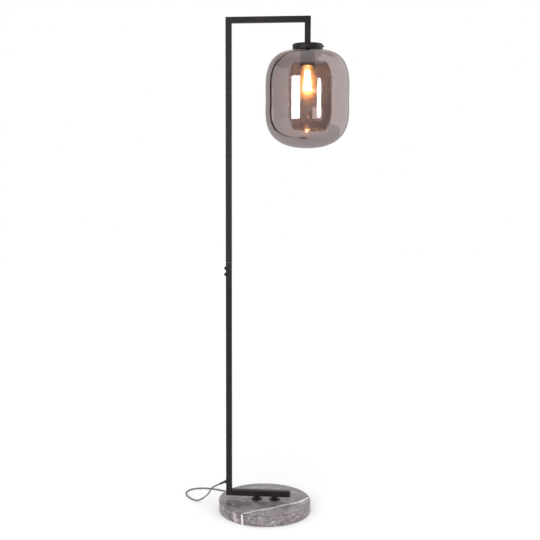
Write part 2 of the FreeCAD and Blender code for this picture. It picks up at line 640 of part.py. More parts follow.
def hank_route():
    """Corners and radii of the hank: loops spiral in on the floor, climb on a run and spiral out."""
    offsets = [HANK_INNER + HANK_PITCH / 2 * step for step in range(2 * HANK_LOOPS)]
    near = offsets[1::2][::-1]
    far = offsets[0::2][::-1]
    runs = []
    for i in range(HANK_LOOPS):
        runs.append((near[i], -1, 0, 0))
        runs.append((far[i], 1, 0, 1 if i == HANK_LOOPS - 1 else 0))
    for i in reversed(range(HANK_LOOPS)):
        runs.append((near[i], -1, 1, 1))
        if i > 0:
            runs.append((far[i - 1], 1, 1, 1))
    corners = []
    for k, (offset, side, start_layer, end_layer) in enumerate(runs):
        before = (offset + runs[k - 1][0]) / 2 if k > 0 else offset
        after = (offset + runs[k + 1][0]) / 2 if k < len(runs) - 1 else offset
        low_z = HANK_LAYERS_Z[start_layer]
        high_z = HANK_LAYERS_Z[end_layer]
        travel = -side
        waist = side * (offset - HANK_WAIST)
        corners.append((-travel * (HANK_RUN / 2 + before), side * offset, low_z, before))
        corners.append((0.0, waist, (low_z + high_z) / 2, 0.0))
        corners.append((travel * (HANK_RUN / 2 + after), side * offset, high_z, after))
    opening = HANK_WAIST * (1 - HANK_RUN / 2 / (HANK_RUN / 2 + near[0]))
    corners[0] = (-HANK_RUN / 2, -near[0] + opening, HANK_LAYERS_Z[0], 0.0)
    corners[-1] = (HANK_RUN / 2, -near[0] + opening, HANK_LAYERS_Z[1], 0.0)
    points = [hank_place(x, y, z) for x, y, z, _ in corners]
    radii = bend_radii(points)
    for i in range(1, len(points) - 1):
        if corners[i][3] > 0:
            partner = i - 1 if corners[i - 1][3] > 0 else i + 1
            half_turn = (math.pi - (points[i - 1] - points[i]).getAngle(points[i + 1] - points[i])) / 2
            half_end = points[i].distanceToPoint(points[partner]) / 2
            radii[i] = 0.999 * half_end / math.tan(half_turn)
        else:
            radii[i] = 0.5 * radii[i]
    return points, radii


def least_gap(path):
    """Least distance between turns of a wound path, less the cord's diameter."""
    step = 3.0
    samples = path.discretize(Distance=step)
    skip = int(12 * CORD_D / step)
    least = 1e9
    for i in range(len(samples)):
        for j in range(i + skip, len(samples)):
            least = min(least, samples[i].distanceToPoint(samples[j]))
    return least - CORD_D


def hank_tie():
    """Strap round the hank's waist."""
    slack = 0.15
    bend_slack = 0.6
    near = HANK_INNER + HANK_PITCH / 2 * (2 * HANK_LOOPS - 1)
    far = HANK_INNER + HANK_PITCH * (HANK_LOOPS - 1)
    low_y = -(near - HANK_WAIST) - CORD_D / 2 - bend_slack
    high_y = far - HANK_WAIST + CORD_D / 2 + bend_slack
    low_z = HANK_LAYERS_Z[0] - CORD_D / 2 - slack
    high_z = HANK_LAYERS_Z[1] + CORD_D / 2 + slack
    wires = []
    for grow, corner in ((0.0, 2.4), (TIE_T, 3.2)):
        points = [Vector(0, low_y - grow, low_z - grow), Vector(0, high_y + grow, low_z - grow),
                  Vector(0, high_y + grow, high_z + grow), Vector(0, low_y - grow, high_z + grow)]
        wires.append(rounded_wire(points, [corner] * 4, closed=True))
    strap = Part.Face(wires[1]).cut(Part.Face(wires[0])).extrude(Vector(TIE_WIDTH, 0, 0))
    strap.translate(Vector(-TIE_WIDTH / 2, 0, 0))
    strap.rotate(Vector(0, 0, 0), Vector(0, 0, 1), HANK_TILT - HANK_ANGLE)
    strap.translate(hank_place(0, 0, 0))
    return strap


def plug_place(along, across, z):
    """A point of the plug's own frame: along its pins, across them, and height."""
    polar = math.radians(PLUG_ANGLE)
    x = PLUG_DISTANCE * math.sin(polar) + along * math.cos(polar) + across * math.sin(polar)
    y = PLUG_DISTANCE * math.cos(polar) - along * math.sin(polar) + across * math.cos(polar)
    return Vector(x, y, z)


def plug_body():
    """Flat two-pin plug: moulded body, drawn in to a ribbed sleeve round the cord."""
    length, width, height = PLUG_BODY
    front = length / 2
    plan = [(front, -width / 2 + 4.5), (front, width / 2 - 4.5), (front - 6, width / 2),
            (-3, width / 2), (-front, 7.5), (-front, -7.5), (-3, -width / 2), (front - 6, -width / 2)]
    points = [Vector(x, y, -height / 2) for x, y in plan]
    outline = rounded_wire(points, [2.5, 2.5, 4, 9, 3, 3, 9, 4], closed=True)
    body = Part.Face(outline).extrude(Vector(0, 0, height))
    rims = [e for e in body.Edges if abs(abs(e.CenterOfMass.z) - height / 2) < 0.01]
    body = body.makeFillet(2.4, rims)
    sleeve = turned([(0, -3, 0), (5.0, -3, 0), (5.0, 2.5, 0.6), (4.2, 2.5, 0.2), (4.2, 4.5, 0.2), (4.7, 4.5, 0.4),
                     (4.7, 7, 0.4), (3.9, 7, 0.2), (3.9, 9, 0.2), (4.2, 9, 0.4), (3.6, PLUG_SLEEVE, 0.4),
                     (0, PLUG_SLEEVE, 0)])
    body = body.fuse(aim(sleeve, Vector(-front, 0, 0), Vector(-1, 0, 0)))
    body.rotate(Vector(0, 0, 0), Vector(0, 0, 1), -PLUG_ANGLE)
    body.translate(plug_place(0, 0, PLUG_AXIS_Z))
    return body


def plug_pins():
    """Two round pins with rounded ends."""
    pin = turned([(0, 0, 0), (PIN_R, 0, 0), (PIN_R, PIN_LENGTH, 1.2), (0, PIN_LENGTH, 0)])
    direction = plug_place(1, 0, 0) - plug_place(0, 0, 0)
    front = PLUG_BODY[0] / 2
    return Part.makeCompound([aim(pin, plug_place(front, side * PIN_SPACING / 2, PLUG_AXIS_Z), direction)
                              for side in (-1, 1)])


def cord_pieces():
    """Free stretch, hank and tail, end to end."""
    hank_points, hank_radii = hank_route()
    arriving = (hank_points[1] - hank_points[0]).normalize()
    free_points = [cord_exit(), cord_exit() + boot_direction() * CORD_FIRST_RUN]
    free_points += [Vector(*point) for point in CORD_ROUTE]
    free_points += [hank_points[0] - arriving * CORD_LAST_RUN, hank_points[0]]
    last = hank_points[-1]
    heading = (last - hank_points[-2]).normalize()
    rear = -PLUG_BODY[0] / 2 - PLUG_SLEEVE
    tail_points = [last, last + heading * TAIL_RUNS[0],
                   plug_place(rear - TAIL_RUNS[1], 0, PLUG_AXIS_Z + 0.1), plug_place(rear, 0, PLUG_AXIS_Z)]
    free, free_path = cord_tube(free_points, bend_radii(free_points), "cord")
    hank, hank_path = cord_tube(hank_points, hank_radii, "hank")
    tail, tail_path = cord_tube(tail_points, bend_radii(tail_points), "tail")
    print("hank gap to itself", round(least_gap(hank_path), 2))
    print("cord length in all", round(free_path.Length + hank_path.Length + tail_path.Length, 1))
    return free, hank, tail


# ---- all pieces ---------------------------------------------------------------------------
def all_pieces():
    """Every node by name."""
    free, hank, tail = cord_pieces()
    pieces = {
        "marble_base": marble_base(),
        "base_pad": base_pad(),
        "base_bolts": base_bolts(),
        "base_washers": base_washers(),
        "standoff_left": spacer(SPACER_X[0]),
        "standoff_right": spacer(SPACER_X[1]),
        "foot_inserts": foot_inserts(),
        "lower_frame": lower_frame(),
        "foot_end_plug": foot_end_plug(),
        "upper_frame": upper_frame(),
        "joint_sleeve": joint_sleeve(),
        "joint_screws": joint_screws(),
        "drop_insert": drop_insert(),
        "shade_cap": shade_cap(),
        "cap_nipple": cap_nipple(),
        "nipple_nut": nipple_nut(),
        "shade_gasket": shade_gasket(),
        "holder_cover": holder_cover(),
        "holder_core": holder_core(),
        "holder_shell": holder_shell(),
        "holder_contact": holder_contact(),
        "inner_lead": inner_lead(),
        "glass_shade": glass_shade(),
        "bulb_glass": bulb_glass(),
        "bulb_cap": bulb_cap(),
        "bulb_insulator": bulb_insulator(),
        "bulb_contact": bulb_contact(),
        "bulb_stem": bulb_stem(),
        "filaments": filaments(),
        "filament_wires": filament_wires(),
        "cord_gland": cord_gland(),
        "cord": free,
        "cord_hank": hank,
        "cord_tail": tail,
        "hank_tie": hank_tie(),
        "plug_body": plug_body(),
        "plug_pins": plug_pins(),
    }
    for number, angle in enumerate(GALLERY_ANGLES, 1):
        pieces["gallery_screw_%d" % number] = gallery_screw(angle)
        pieces["screw_tip_%d" % number] = screw_tip(angle)
    return pieces


os.makedirs("parts", exist_ok=True)
for name, shape in all_pieces().items():
    if not shape.isValid():
        raise ValueError(name + " is not a valid shape")
    shape.exportStep("parts/" + name + ".step")
    print(name, len(shape.Solids), "solids", round(shape.Volume / 1000, 2), "cm3")
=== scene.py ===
"""Globe floor lamp: looks, cord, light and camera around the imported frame."""

import math
from functools import cache

import bpy
from mathutils import Matrix, Vector


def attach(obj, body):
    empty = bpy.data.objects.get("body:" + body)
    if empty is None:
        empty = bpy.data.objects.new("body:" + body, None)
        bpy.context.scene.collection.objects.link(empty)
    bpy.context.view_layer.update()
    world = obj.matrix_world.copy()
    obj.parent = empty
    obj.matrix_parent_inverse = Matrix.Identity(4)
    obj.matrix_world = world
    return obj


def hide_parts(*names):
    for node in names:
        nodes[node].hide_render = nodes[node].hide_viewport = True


bl_info = {
    "name": "Globe floor lamp",
    "version": (1, 0, 0),
    "blender": (4, 5, 0),
    "location": "3D View > Sidebar > Floor lamp",
    "description": "Builds the visible pieces and finishes of a globe floor lamp around its frame",
    "category": "Object",
}

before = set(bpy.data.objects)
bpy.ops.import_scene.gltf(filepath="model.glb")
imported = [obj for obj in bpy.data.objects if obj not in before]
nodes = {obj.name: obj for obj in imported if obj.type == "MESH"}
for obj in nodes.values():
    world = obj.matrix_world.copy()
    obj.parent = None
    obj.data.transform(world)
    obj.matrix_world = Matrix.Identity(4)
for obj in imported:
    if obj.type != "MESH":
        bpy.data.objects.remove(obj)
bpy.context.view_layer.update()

MM = 0.001

# ---- sizes and places of the pieces in the frame, in millimetres ----
AXIS_X = 124.7
SHADE_BOTTOM_Z = 1130.2
SHADE_OUTLINE = (
    (0, 0), (73.4, 13.6), (104.7, 37.5), (121.7, 73.1), (124.9, 144.6),
    (121.7, 225.8), (108, 259.5), (85.8, 280.3), (58.5, 289.3), (42.1, 291.3),
)
NECK_R = 37.1
NECK_COVE = 5.0
BEAD_Z = 302.9
BEAD_H = 2.2
BEAD_OUT = 1.6
NECK_RINGS = (297.8, 300.4)
BORE_RINGS = (298.5, 302.0)
RIM_BEVEL = 0.4
SHOULDER_FADE = (252, 286)
BULB_OUTLINE = (
    (0, 1275.3), (16.6, 1280), (27.3, 1292.5), (31.2, 1310.2), (28.9, 1329.3),
    (23, 1349.3), (17.8, 1366), (15.4, 1376.4),
)
BULB_NECK_R = 12.7
BULB_NECK_DEPTH = 6.0
CAP_THREAD = (1379.4, 1401.2)
CAP_R = 13.2
CAP_BORE_R = 12.75
THREAD_PITCH = 3.63
THREAD_DEPTH = 0.4
THREAD_ENDS = (0.8, 0.4)
THREAD_FADE = 2.0
ROD_COUNT = 6
ROD_FIRST_ANGLE = 15
ROD_LOW = (11.2, 1302.5)
ROD_HIGH = (5.7, 1361.0)
POLE_FACE_X = -121.3
EXIT_Z = 87.0
BOOT_TILT = 25.0
BOOT_START = 2.6
BOOT_LENGTH = 15.0
BOOT_BODY = 21.0
BOOT_GROOVES = 5
FOOT_TOP_Z = 34.6
FOOT_R = 143.6

# ---- cord route, in millimetres ----
FIRST_RUN = 22.0
CORD_ROUTE = (
    (-171.9, 13.3, 57.2), (-178.7, 28.6, 39.4), (-190.4, 36.7, 23.8), (-207.3, 36.9, 12.1),
    (-223.8, 48, 2.45), (-239.4, 60.8, 2.45), (-254, 78.2, 2.45), (-265.1, 99.7, 2.45),
    (-269, 124.6, 2.45), (-260, 148, 2.45), (-239.5, 161.9, 2.45), (-211.7, 166.2, 2.45),
    (-180.8, 161.2, 2.45), (-151.8, 150, 2.45), (-124.9, 135.5, 2.6),
)
LAST_RUN = 28.0
HANK_RUN = 72.0
HANK_NEAR = (28.4, 22.9, 17.4)
HANK_FAR = (25.65, 20.15, 14.65)
HANK_WAIST = 4.0
HANK_LAYERS_Z = (3.4, 8.7)
HANK_DISTANCE = 174.1
HANK_ANGLE = -15.0
HANK_TILT = 5.0
FOLD_POINTS = 6
PLUG_DISTANCE = 165.0
PLUG_ANGLE = 34.0
PLUG_AXIS_Z = 6.9
PLUG_REAR = -29.0
TAIL_RUNS = (16.0, 29.0)

# ---- camera ----
CAMERA_PLACE = (0.1913, -2.7688, 1.0717)
CAMERA_YAW = 5.557
CAMERA_PITCH = 5.663
CAMERA_LENS = 60.647
CAMERA_SENSOR = 36.0
CAMERA_SHIFT = (0.0556, -0.0222)

# ---- stage, in metres and watts ----
VIEW_REACH = 60.0
WORLD_LIGHT = 0.72
FLOOR_Z = -0.0002
FLOOR_COLOUR = (0.9, 0.9, 0.9, 1.0)
FLOOR_LIFT_REACH = (0.3, 3.0)
FLOOR_LIFT = (0.22, 0.42)
ROOM_MIDDLE_Z = 1.27
PANEL_ROWS = 16
WHITE = (1.0, 1.0, 1.0, 1.0)
LIGHTS = (
    ("front_light", (-0.8, -3.3, 1.0), (0.0, 0.0, 0.5), 1.8, 62.0),
    ("right_light", (2.6, -1.6, 1.3), (0.0, 0.0, 0.6), 1.5, 9.5),
    ("top_light", (0.2, -0.2, 3.2), (0.0, 0.0, 0.0), 1.8, 4.2),
)


# ---- sizes and colours a user would change ----
def length(name, description, default, low, high):
    """A length that the panel shows, in metres."""
    return bpy.props.FloatProperty(
        name=name, description=description, default=default, min=low, max=high, unit="LENGTH",
        subtype="DISTANCE",
    )


class LampSizes(bpy.types.PropertyGroup):
    """Sizes of the visible pieces."""

    cord_diameter: length("Cord diameter", "Outside diameter of the mains cord", 0.0048, 0.003, 0.008)
    cord_length: length("Cord length", "Length from the strain relief to the plug", 1.982, 1.0, 3.0)
    shade_wall: length("Shade wall", "Thickness of the blown glass", 0.003, 0.001, 0.005)
    bulb_wall: length("Bulb wall", "Thickness of the bulb's glass", 0.001, 0.0005, 0.002)
    filament_radius: length("Filament radius", "Radius of one glowing rod", 0.0009, 0.0003, 0.0015)
    floor_width: length("Floor width", "Side of the square floor", 14.0, 4.0, 40.0)


def colour(name, description, default):
    """A colour that the panel shows."""
    return bpy.props.FloatVectorProperty(
        name=name, description=description, default=default, min=0.0, max=1.0, size=3, subtype="COLOR",
    )


class LampColours(bpy.types.PropertyGroup):
    """Colours of the finishes."""

    powder: colour("Powder coat", "Satin black paint of the tubes and the cap", (0.0078, 0.0048, 0.0070))
    marble_dark: colour("Marble dark", "Darkest clouds of the foot", (0.092, 0.079, 0.086))
    marble_light: colour("Marble light", "Palest clouds of the foot", (0.36, 0.315, 0.33))
    marble_vein: colour("Marble vein", "Veins of the foot", (0.93, 0.87, 0.87))
    smoke: colour("Smoked glass", "Light that one face of the shade lets through", (0.690, 0.632, 0.620))
    mirror: colour("Mirror coat", "Tint of the shade's half-mirrored face", (1.0, 0.91, 0.92))
    amber: colour("Amber glass", "Light that the bulb's glass lets through", (1.0, 0.82, 0.56))
    glow: colour("Glow", "Colour of the glowing rods", (1.0, 0.82, 0.55))
    cord: colour("Cord", "Sheath of the mains cord", (0.115, 0.098, 0.098))


def sizes():
    return bpy.context.scene.lamp_sizes


def colours():
    return bpy.context.scene.lamp_colours


def rgba(value):
    return (*value[:3], 1.0)


def scaled(value, factor):
    """A colour made darker or paler."""
    return tuple(part * factor for part in value)


# ---- node materials ----
class Finish:
    """A material or a world under construction: adds nodes and links them by name."""

    def __init__(self, name, store=None, output="ShaderNodeOutputMaterial"):
        self.owner = (bpy.data.materials if store is None else store).new(name)
        self.owner.use_nodes = True
        self.tree = self.owner.node_tree
        self.tree.nodes.clear()
        self.output = self.tree.nodes.new(output)

    def node(self, kind, settings=None, **inputs):
        """A node of that kind; inputs are sockets to link or values to set, by socket name or index."""
        made = self.tree.nodes.new(kind)
        for key, value in (settings or {}).items():
            setattr(made, key, value)
        for key, value in inputs.items():
            numbered = key[0] == "i" and key[1:].isdigit()
            socket = made.inputs[int(key[1:]) if numbered else key.replace("_", " ")]
            if isinstance(value, bpy.types.NodeSocket):
                self.tree.links.new(value, socket)
            else:
                socket.default_value = value
        return made

    def place(self):
        """Position on the object at rest, in metres."""
        return self.node("ShaderNodeTexCoord").outputs["Object"]

    def math(self, operation, first, second=0.0, clamp=False):
        return self.node(
            "ShaderNodeMath", {"operation": operation, "use_clamp": clamp}, i0=first, i1=second,
        ).outputs[0]

    def vector(self, operation, first, second=(0.0, 0.0, 0.0), output=0):
        made = self.node("ShaderNodeVectorMath", {"operation": operation}, i0=first, i1=second)
        return made.outputs[output]

    def scale(self, first, factor):
        """A vector made longer or shorter."""
        return self.node("ShaderNodeVectorMath", {"operation": "SCALE"}, i0=first, Scale=factor).outputs[0]

    def noise(self, scale, detail=3.0, rough=0.5, distort=0.0, place=None):
        return self.node(
            "ShaderNodeTexNoise", Vector=place or self.place(), Scale=scale, Detail=detail, Roughness=rough,
            Distortion=distort,
        ).outputs["Fac"]

    def stretched(self, factors):
        """Position stretched by a factor along each axis."""
        return self.node("ShaderNodeMapping", Vector=self.place(), Scale=factors).outputs[0]

    def seams(self, place, scale, width, strength):
        """Lines along the edges of random cells."""
        cells = self.node("ShaderNodeTexVoronoi", {"feature": "DISTANCE_TO_EDGE"}, Vector=place, Scale=scale)
        return self.spread(cells.outputs["Distance"], 0.0, width, strength, 0.0)

    def ramp(self, factor, stops):
        """Colours at places along a factor."""
        made = self.node("ShaderNodeValToRGB", Fac=factor)
        elements = made.color_ramp.elements
        while len(elements) < len(stops):
            elements.new(0.5)
        for element, (position, value) in zip(elements, stops):
            element.position = position
            element.color = rgba(value if isinstance(value, tuple) else (value, value, value))
        return made.outputs["Color"]

    def spread(self, factor, low, high, new_low, new_high):
        """A factor moved from one range to another."""
        return self.node(
            "ShaderNodeMapRange", Value=factor, From_Min=low, From_Max=high, To_Min=new_low, To_Max=new_high,
        ).outputs[0]

    def mix(self, factor, first, second):
        """A colour between two others, which are the node's inputs 6 and 7."""
        made = self.node("ShaderNodeMix", {"data_type": "RGBA"}, i0=factor)
        for index, value in ((6, first), (7, second)):
            if isinstance(value, bpy.types.NodeSocket):
                self.tree.links.new(value, made.inputs[index])
            else:
                made.inputs[index].default_value = rgba(value)
        return made.outputs[2]

    def bump(self, height, depth, strength=1.0, after=None):
        """Relief from a height factor; depth is in metres."""
        made = self.node("ShaderNodeBump", Height=height, Distance=depth, Strength=strength)
        if after is not None:
            self.tree.links.new(after, made.inputs["Normal"])
        return made.outputs[0]

    def facing(self):
        """0 where the surface faces the view, 1 at its outline."""
        return self.node("ShaderNodeLayerWeight", Blend=0.5).outputs["Facing"]

    def clear(self, **inputs):
        """Light that goes straight through."""
        return self.node("ShaderNodeBsdfTransparent", **inputs).outputs[0]

    def blend(self, share, first, second):
        """Two shaders mixed by the share of the second."""
        return self.node("ShaderNodeMixShader", Fac=share, i1=first, i2=second).outputs[0]

    def surface(self, **inputs):
        """The main shader."""
        return self.node("ShaderNodeBsdfPrincipled", **inputs).outputs[0]

    def done(self, shader):
        self.tree.links.new(shader, self.output.inputs["Surface"])
        return self.owner


@cache
def powder_coat():
    """Satin black powder coat with its fine orange peel and a little dust."""
    f = Finish("powder_coat")
    cloud = f.noise(24.0, 4.0, 0.6)
    dust = f.noise(1400.0, 2.0, 0.6)
    base = colours().powder
    worn = tuple(min(1.0, c * 1.45 + 0.003) for c in base)
    tone = f.mix(f.spread(cloud, 0.35, 0.7, 0.0, 1.0), base, worn)
    speck = f.mix(f.spread(dust, 0.62, 0.78, 0.0, 0.35), tone, tuple(c * 2.2 + 0.006 for c in base))
    peel = f.bump(f.noise(900.0, 2.0, 0.5), 0.00003, 0.35)
    fine = f.bump(dust, 0.00001, 0.3, peel)
    rough = f.spread(cloud, 0.3, 0.7, 0.44, 0.54)
    return f.done(f.surface(Base_Color=speck, Roughness=rough, Normal=fine, Specular_IOR_Level=0.30))


@cache
def moulded_plastic():
    """Matt black moulded plastic with a fine spark-eroded grain."""
    f = Finish("moulded_plastic")
    grain = f.noise(1600.0, 3.0, 0.65)
    tone = f.ramp(grain, ((0.3, (0.016, 0.015, 0.016)), (0.75, (0.034, 0.031, 0.034))))
    rough = f.spread(f.noise(60.0, 3.0), 0.3, 0.7, 0.48, 0.62)
    return f.done(f.surface(Base_Color=tone, Roughness=rough, Normal=f.bump(grain, 0.00005, 0.6)))


@cache
def soft_rubber():
    """Dull rubber with pale handling marks."""
    f = Finish("soft_rubber")
    tone = f.ramp(f.noise(90.0, 4.0, 0.6), ((0.3, (0.026, 0.025, 0.026)), (0.8, (0.06, 0.058, 0.06))))
    return f.done(f.surface(Base_Color=tone, Roughness=f.spread(f.noise(300.0), 0.3, 0.7, 0.66, 0.82),
                            Normal=f.bump(f.noise(1200.0, 3.0), 0.00004, 0.6)))


@cache
def cord_sheath():
    """Soft dark grey flex sheath, a little paler where it is rubbed."""
    f = Finish("cord_sheath")
    base = colours().cord
    tone = f.mix(f.spread(f.noise(55.0, 4.0, 0.6), 0.42, 0.66, 0.0, 1.0), base, scaled(base, 1.5))
    fine = f.bump(f.noise(2100.0, 2.0), 0.00003, 0.5)
    rough = f.spread(f.noise(400.0), 0.3, 0.7, 0.42, 0.58)
    return f.done(f.surface(Base_Color=tone, Roughness=rough, Normal=fine))


def brushed(name, base, low, high, factors):
    """A drawn or turned metal: fine scratches along one way."""
    f = Finish(name)
    lines = f.noise(1.0, 4.0, 0.6, place=f.stretched(factors))
    blotch = f.noise(130.0, 3.0, 0.6)
    tone = f.mix(f.spread(blotch, 0.35, 0.7, 0.0, 1.0), base, scaled(base, 0.72))
    return f.done(f.surface(Base_Color=tone, Metallic=1.0, Roughness=f.spread(lines, 0.3, 0.7, low, high),
                            Normal=f.bump(lines, 0.00003, 0.5)))


@cache
def steel():
    return brushed("steel", (0.56, 0.56, 0.57), 0.22, 0.38, (220.0, 220.0, 1800.0))


@cache
def brass():
    return brushed("brass", (0.80, 0.60, 0.30), 0.20, 0.34, (200.0, 200.0, 2000.0))


def felt():
    """Pressed black felt: loose fibres and lint."""
    f = Finish("felt")
    fibre = f.noise(1.0, 5.0, 0.75, 1.5, place=f.stretched((900.0, 2600.0, 900.0)))
    lint = f.noise(480.0, 3.0, 0.8)
    tone = f.ramp(fibre, ((0.25, (0.022, 0.021, 0.022)), (0.8, (0.085, 0.08, 0.082))))
    tone = f.mix(f.spread(lint, 0.68, 0.8, 0.0, 0.6), tone, (0.22, 0.21, 0.21))
    return f.done(f.surface(Base_Color=tone, Roughness=0.95, Sheen_Weight=0.35, Sheen_Roughness=0.5,
                            Normal=f.bump(fibre, 0.0003, 0.9)))


def ceramic():
    """Unglazed white lamp-holder ceramic."""
    f = Finish("ceramic")
    speck = f.noise(1900.0, 3.0, 0.7)
    tone = f.ramp(speck, ((0.25, (0.70, 0.68, 0.64)), (0.5, (0.80, 0.78, 0.74)), (0.8, (0.86, 0.845, 0.81))))
    return f.done(f.surface(Base_Color=tone, Roughness=0.55, Normal=f.bump(speck, 0.00004, 0.5)))


# ---- marble ----
# A vein is (start, end, half width, strength), in millimetres. A place without a height is on the foot's top.
PALE_VEINS = (
    ((-54, -128), (-14, -97), 3.4, 1.0),
    ((-14, -97), (18, -82), 4.4, 1.0),
    ((18, -82), (65, -46), 4.2, 1.0),
    ((65, -46), (116, -10), 4.6, 1.0),
    ((112, -12), (136, 24), 6.0, 0.9),
    ((116, -22), (141, 4), 2.4, 0.5),
    ((-60, -132), (-58, -132, 0), 4.4, 1.0),
    ((-50, -133, 8), (-38, -137, 26), 2.0, 0.4),
    ((44, -76), (84, -118), 1.5, 0.45),
    ((-64, 102), (12, 104), 4.5, 0.30),
    ((-97, -64), (-91, -54), 2.0, 0.75),
    ((-70, -27), (-62, -11), 1.9, 0.65),
    ((-30, -60), (22, -38), 1.2, 0.28),
    ((-118, 20), (-70, 84), 2.6, 0.3),
    ((34, 78), (104, 62), 2.4, 0.35),
    ((0, -144), (1, -144, 8), 1.6, 0.22),
    ((27, -141, 7), (37, -139, 17), 2.4, 0.42),
    ((12, -143, 3), (20, -142, 9), 1.8, 0.35),
    ((88, -113, 5), (98, -105, 15), 2.2, 0.50),
    ((98, -105, 15), (112, -90, 19), 2.0, 0.45),
    ((50, -135, 10), (64, -129, 22), 1.9, 0.25),
    ((-30, -141, 8), (-16, -143, 28), 2.0, 0.22),
    ((-84, -116, 30), (-80, -119, 4), 9.0, 0.34),
    ((-140, -30, 30), (-136, -46, 10), 3.0, 0.4),
    ((128, 65, 30), (96, 108, 8), 2.2, 0.6),
    ((-128, 66), (-141, 30, 4), 2.4, 0.55),
    ((-20, 143), (14, 143, 4), 2.8, 0.65),
    ((-100, 104, 28), (-72, 125, 6), 2.0, 0.5),
)
DARK_VEINS = (
    ((-121, -78, 24), (-101, -102, 15), 3.4, 1.0),
    ((-101, -102, 15), (-85, -116, 3), 3.6, 1.0),
    ((-134, -52, 22), (-122, -76, 10), 3.4, 1.0),
    ((-107, -96, 33), (-99, -104, 12), 2.4, 0.9),
    ((-132, -30), (-96, -66), 8.0, 0.55),
    ((-112, -52), (-70, -76), 6.0, 0.5),
    ((-88, -96), (-40, -104), 4.0, 0.35),
    ((-30, -22), (12, -64), 7.0, 0.35),
    ((92, -14), (118, 40), 13.0, 0.38),
    ((44, -94), (100, -74), 3.0, 0.3),
    ((60, -131, 32), (84, -117, 6), 1.8, 0.6),
    ((78, -121), (66, -128, 8), 1.6, 0.5),
    ((-20, -143, 4), (4, -144, 30), 2.2, 0.35),
    ((-60, 130, 30), (-90, 112, 6), 1.8, 0.7),
    ((60, 131, 26), (100, 103, 10), 1.8, 0.6),
    ((110, 93, 30), (136, 47, 12), 2.0, 0.6),
)


def vein_place(spot):
    """One end of a vein, in metres."""
    return Vector(spot if len(spot) == 3 else (*spot, FOOT_TOP_Z)) * MM


def vein_field(f, place, veins):
    """How strongly each point lies in one of the veins."""
    total = None
    for start, end, half_width, strength in veins:
        run = vein_place(end) - vein_place(start)
        offset = f.vector("SUBTRACT", place, tuple(vein_place(start)))
        reach = f.vector("DOT_PRODUCT", offset, tuple(run), 1)
        along = f.math("MULTIPLY", reach, 1.0 / run.length_squared, True)
        gap = f.vector("DISTANCE", offset, f.scale(tuple(run), along), 1)
        hit = f.spread(gap, half_width * MM, half_width * MM * 0.25, 0.0, strength)
        total = hit if total is None else f.math("MAXIMUM", total, hit)
    return total


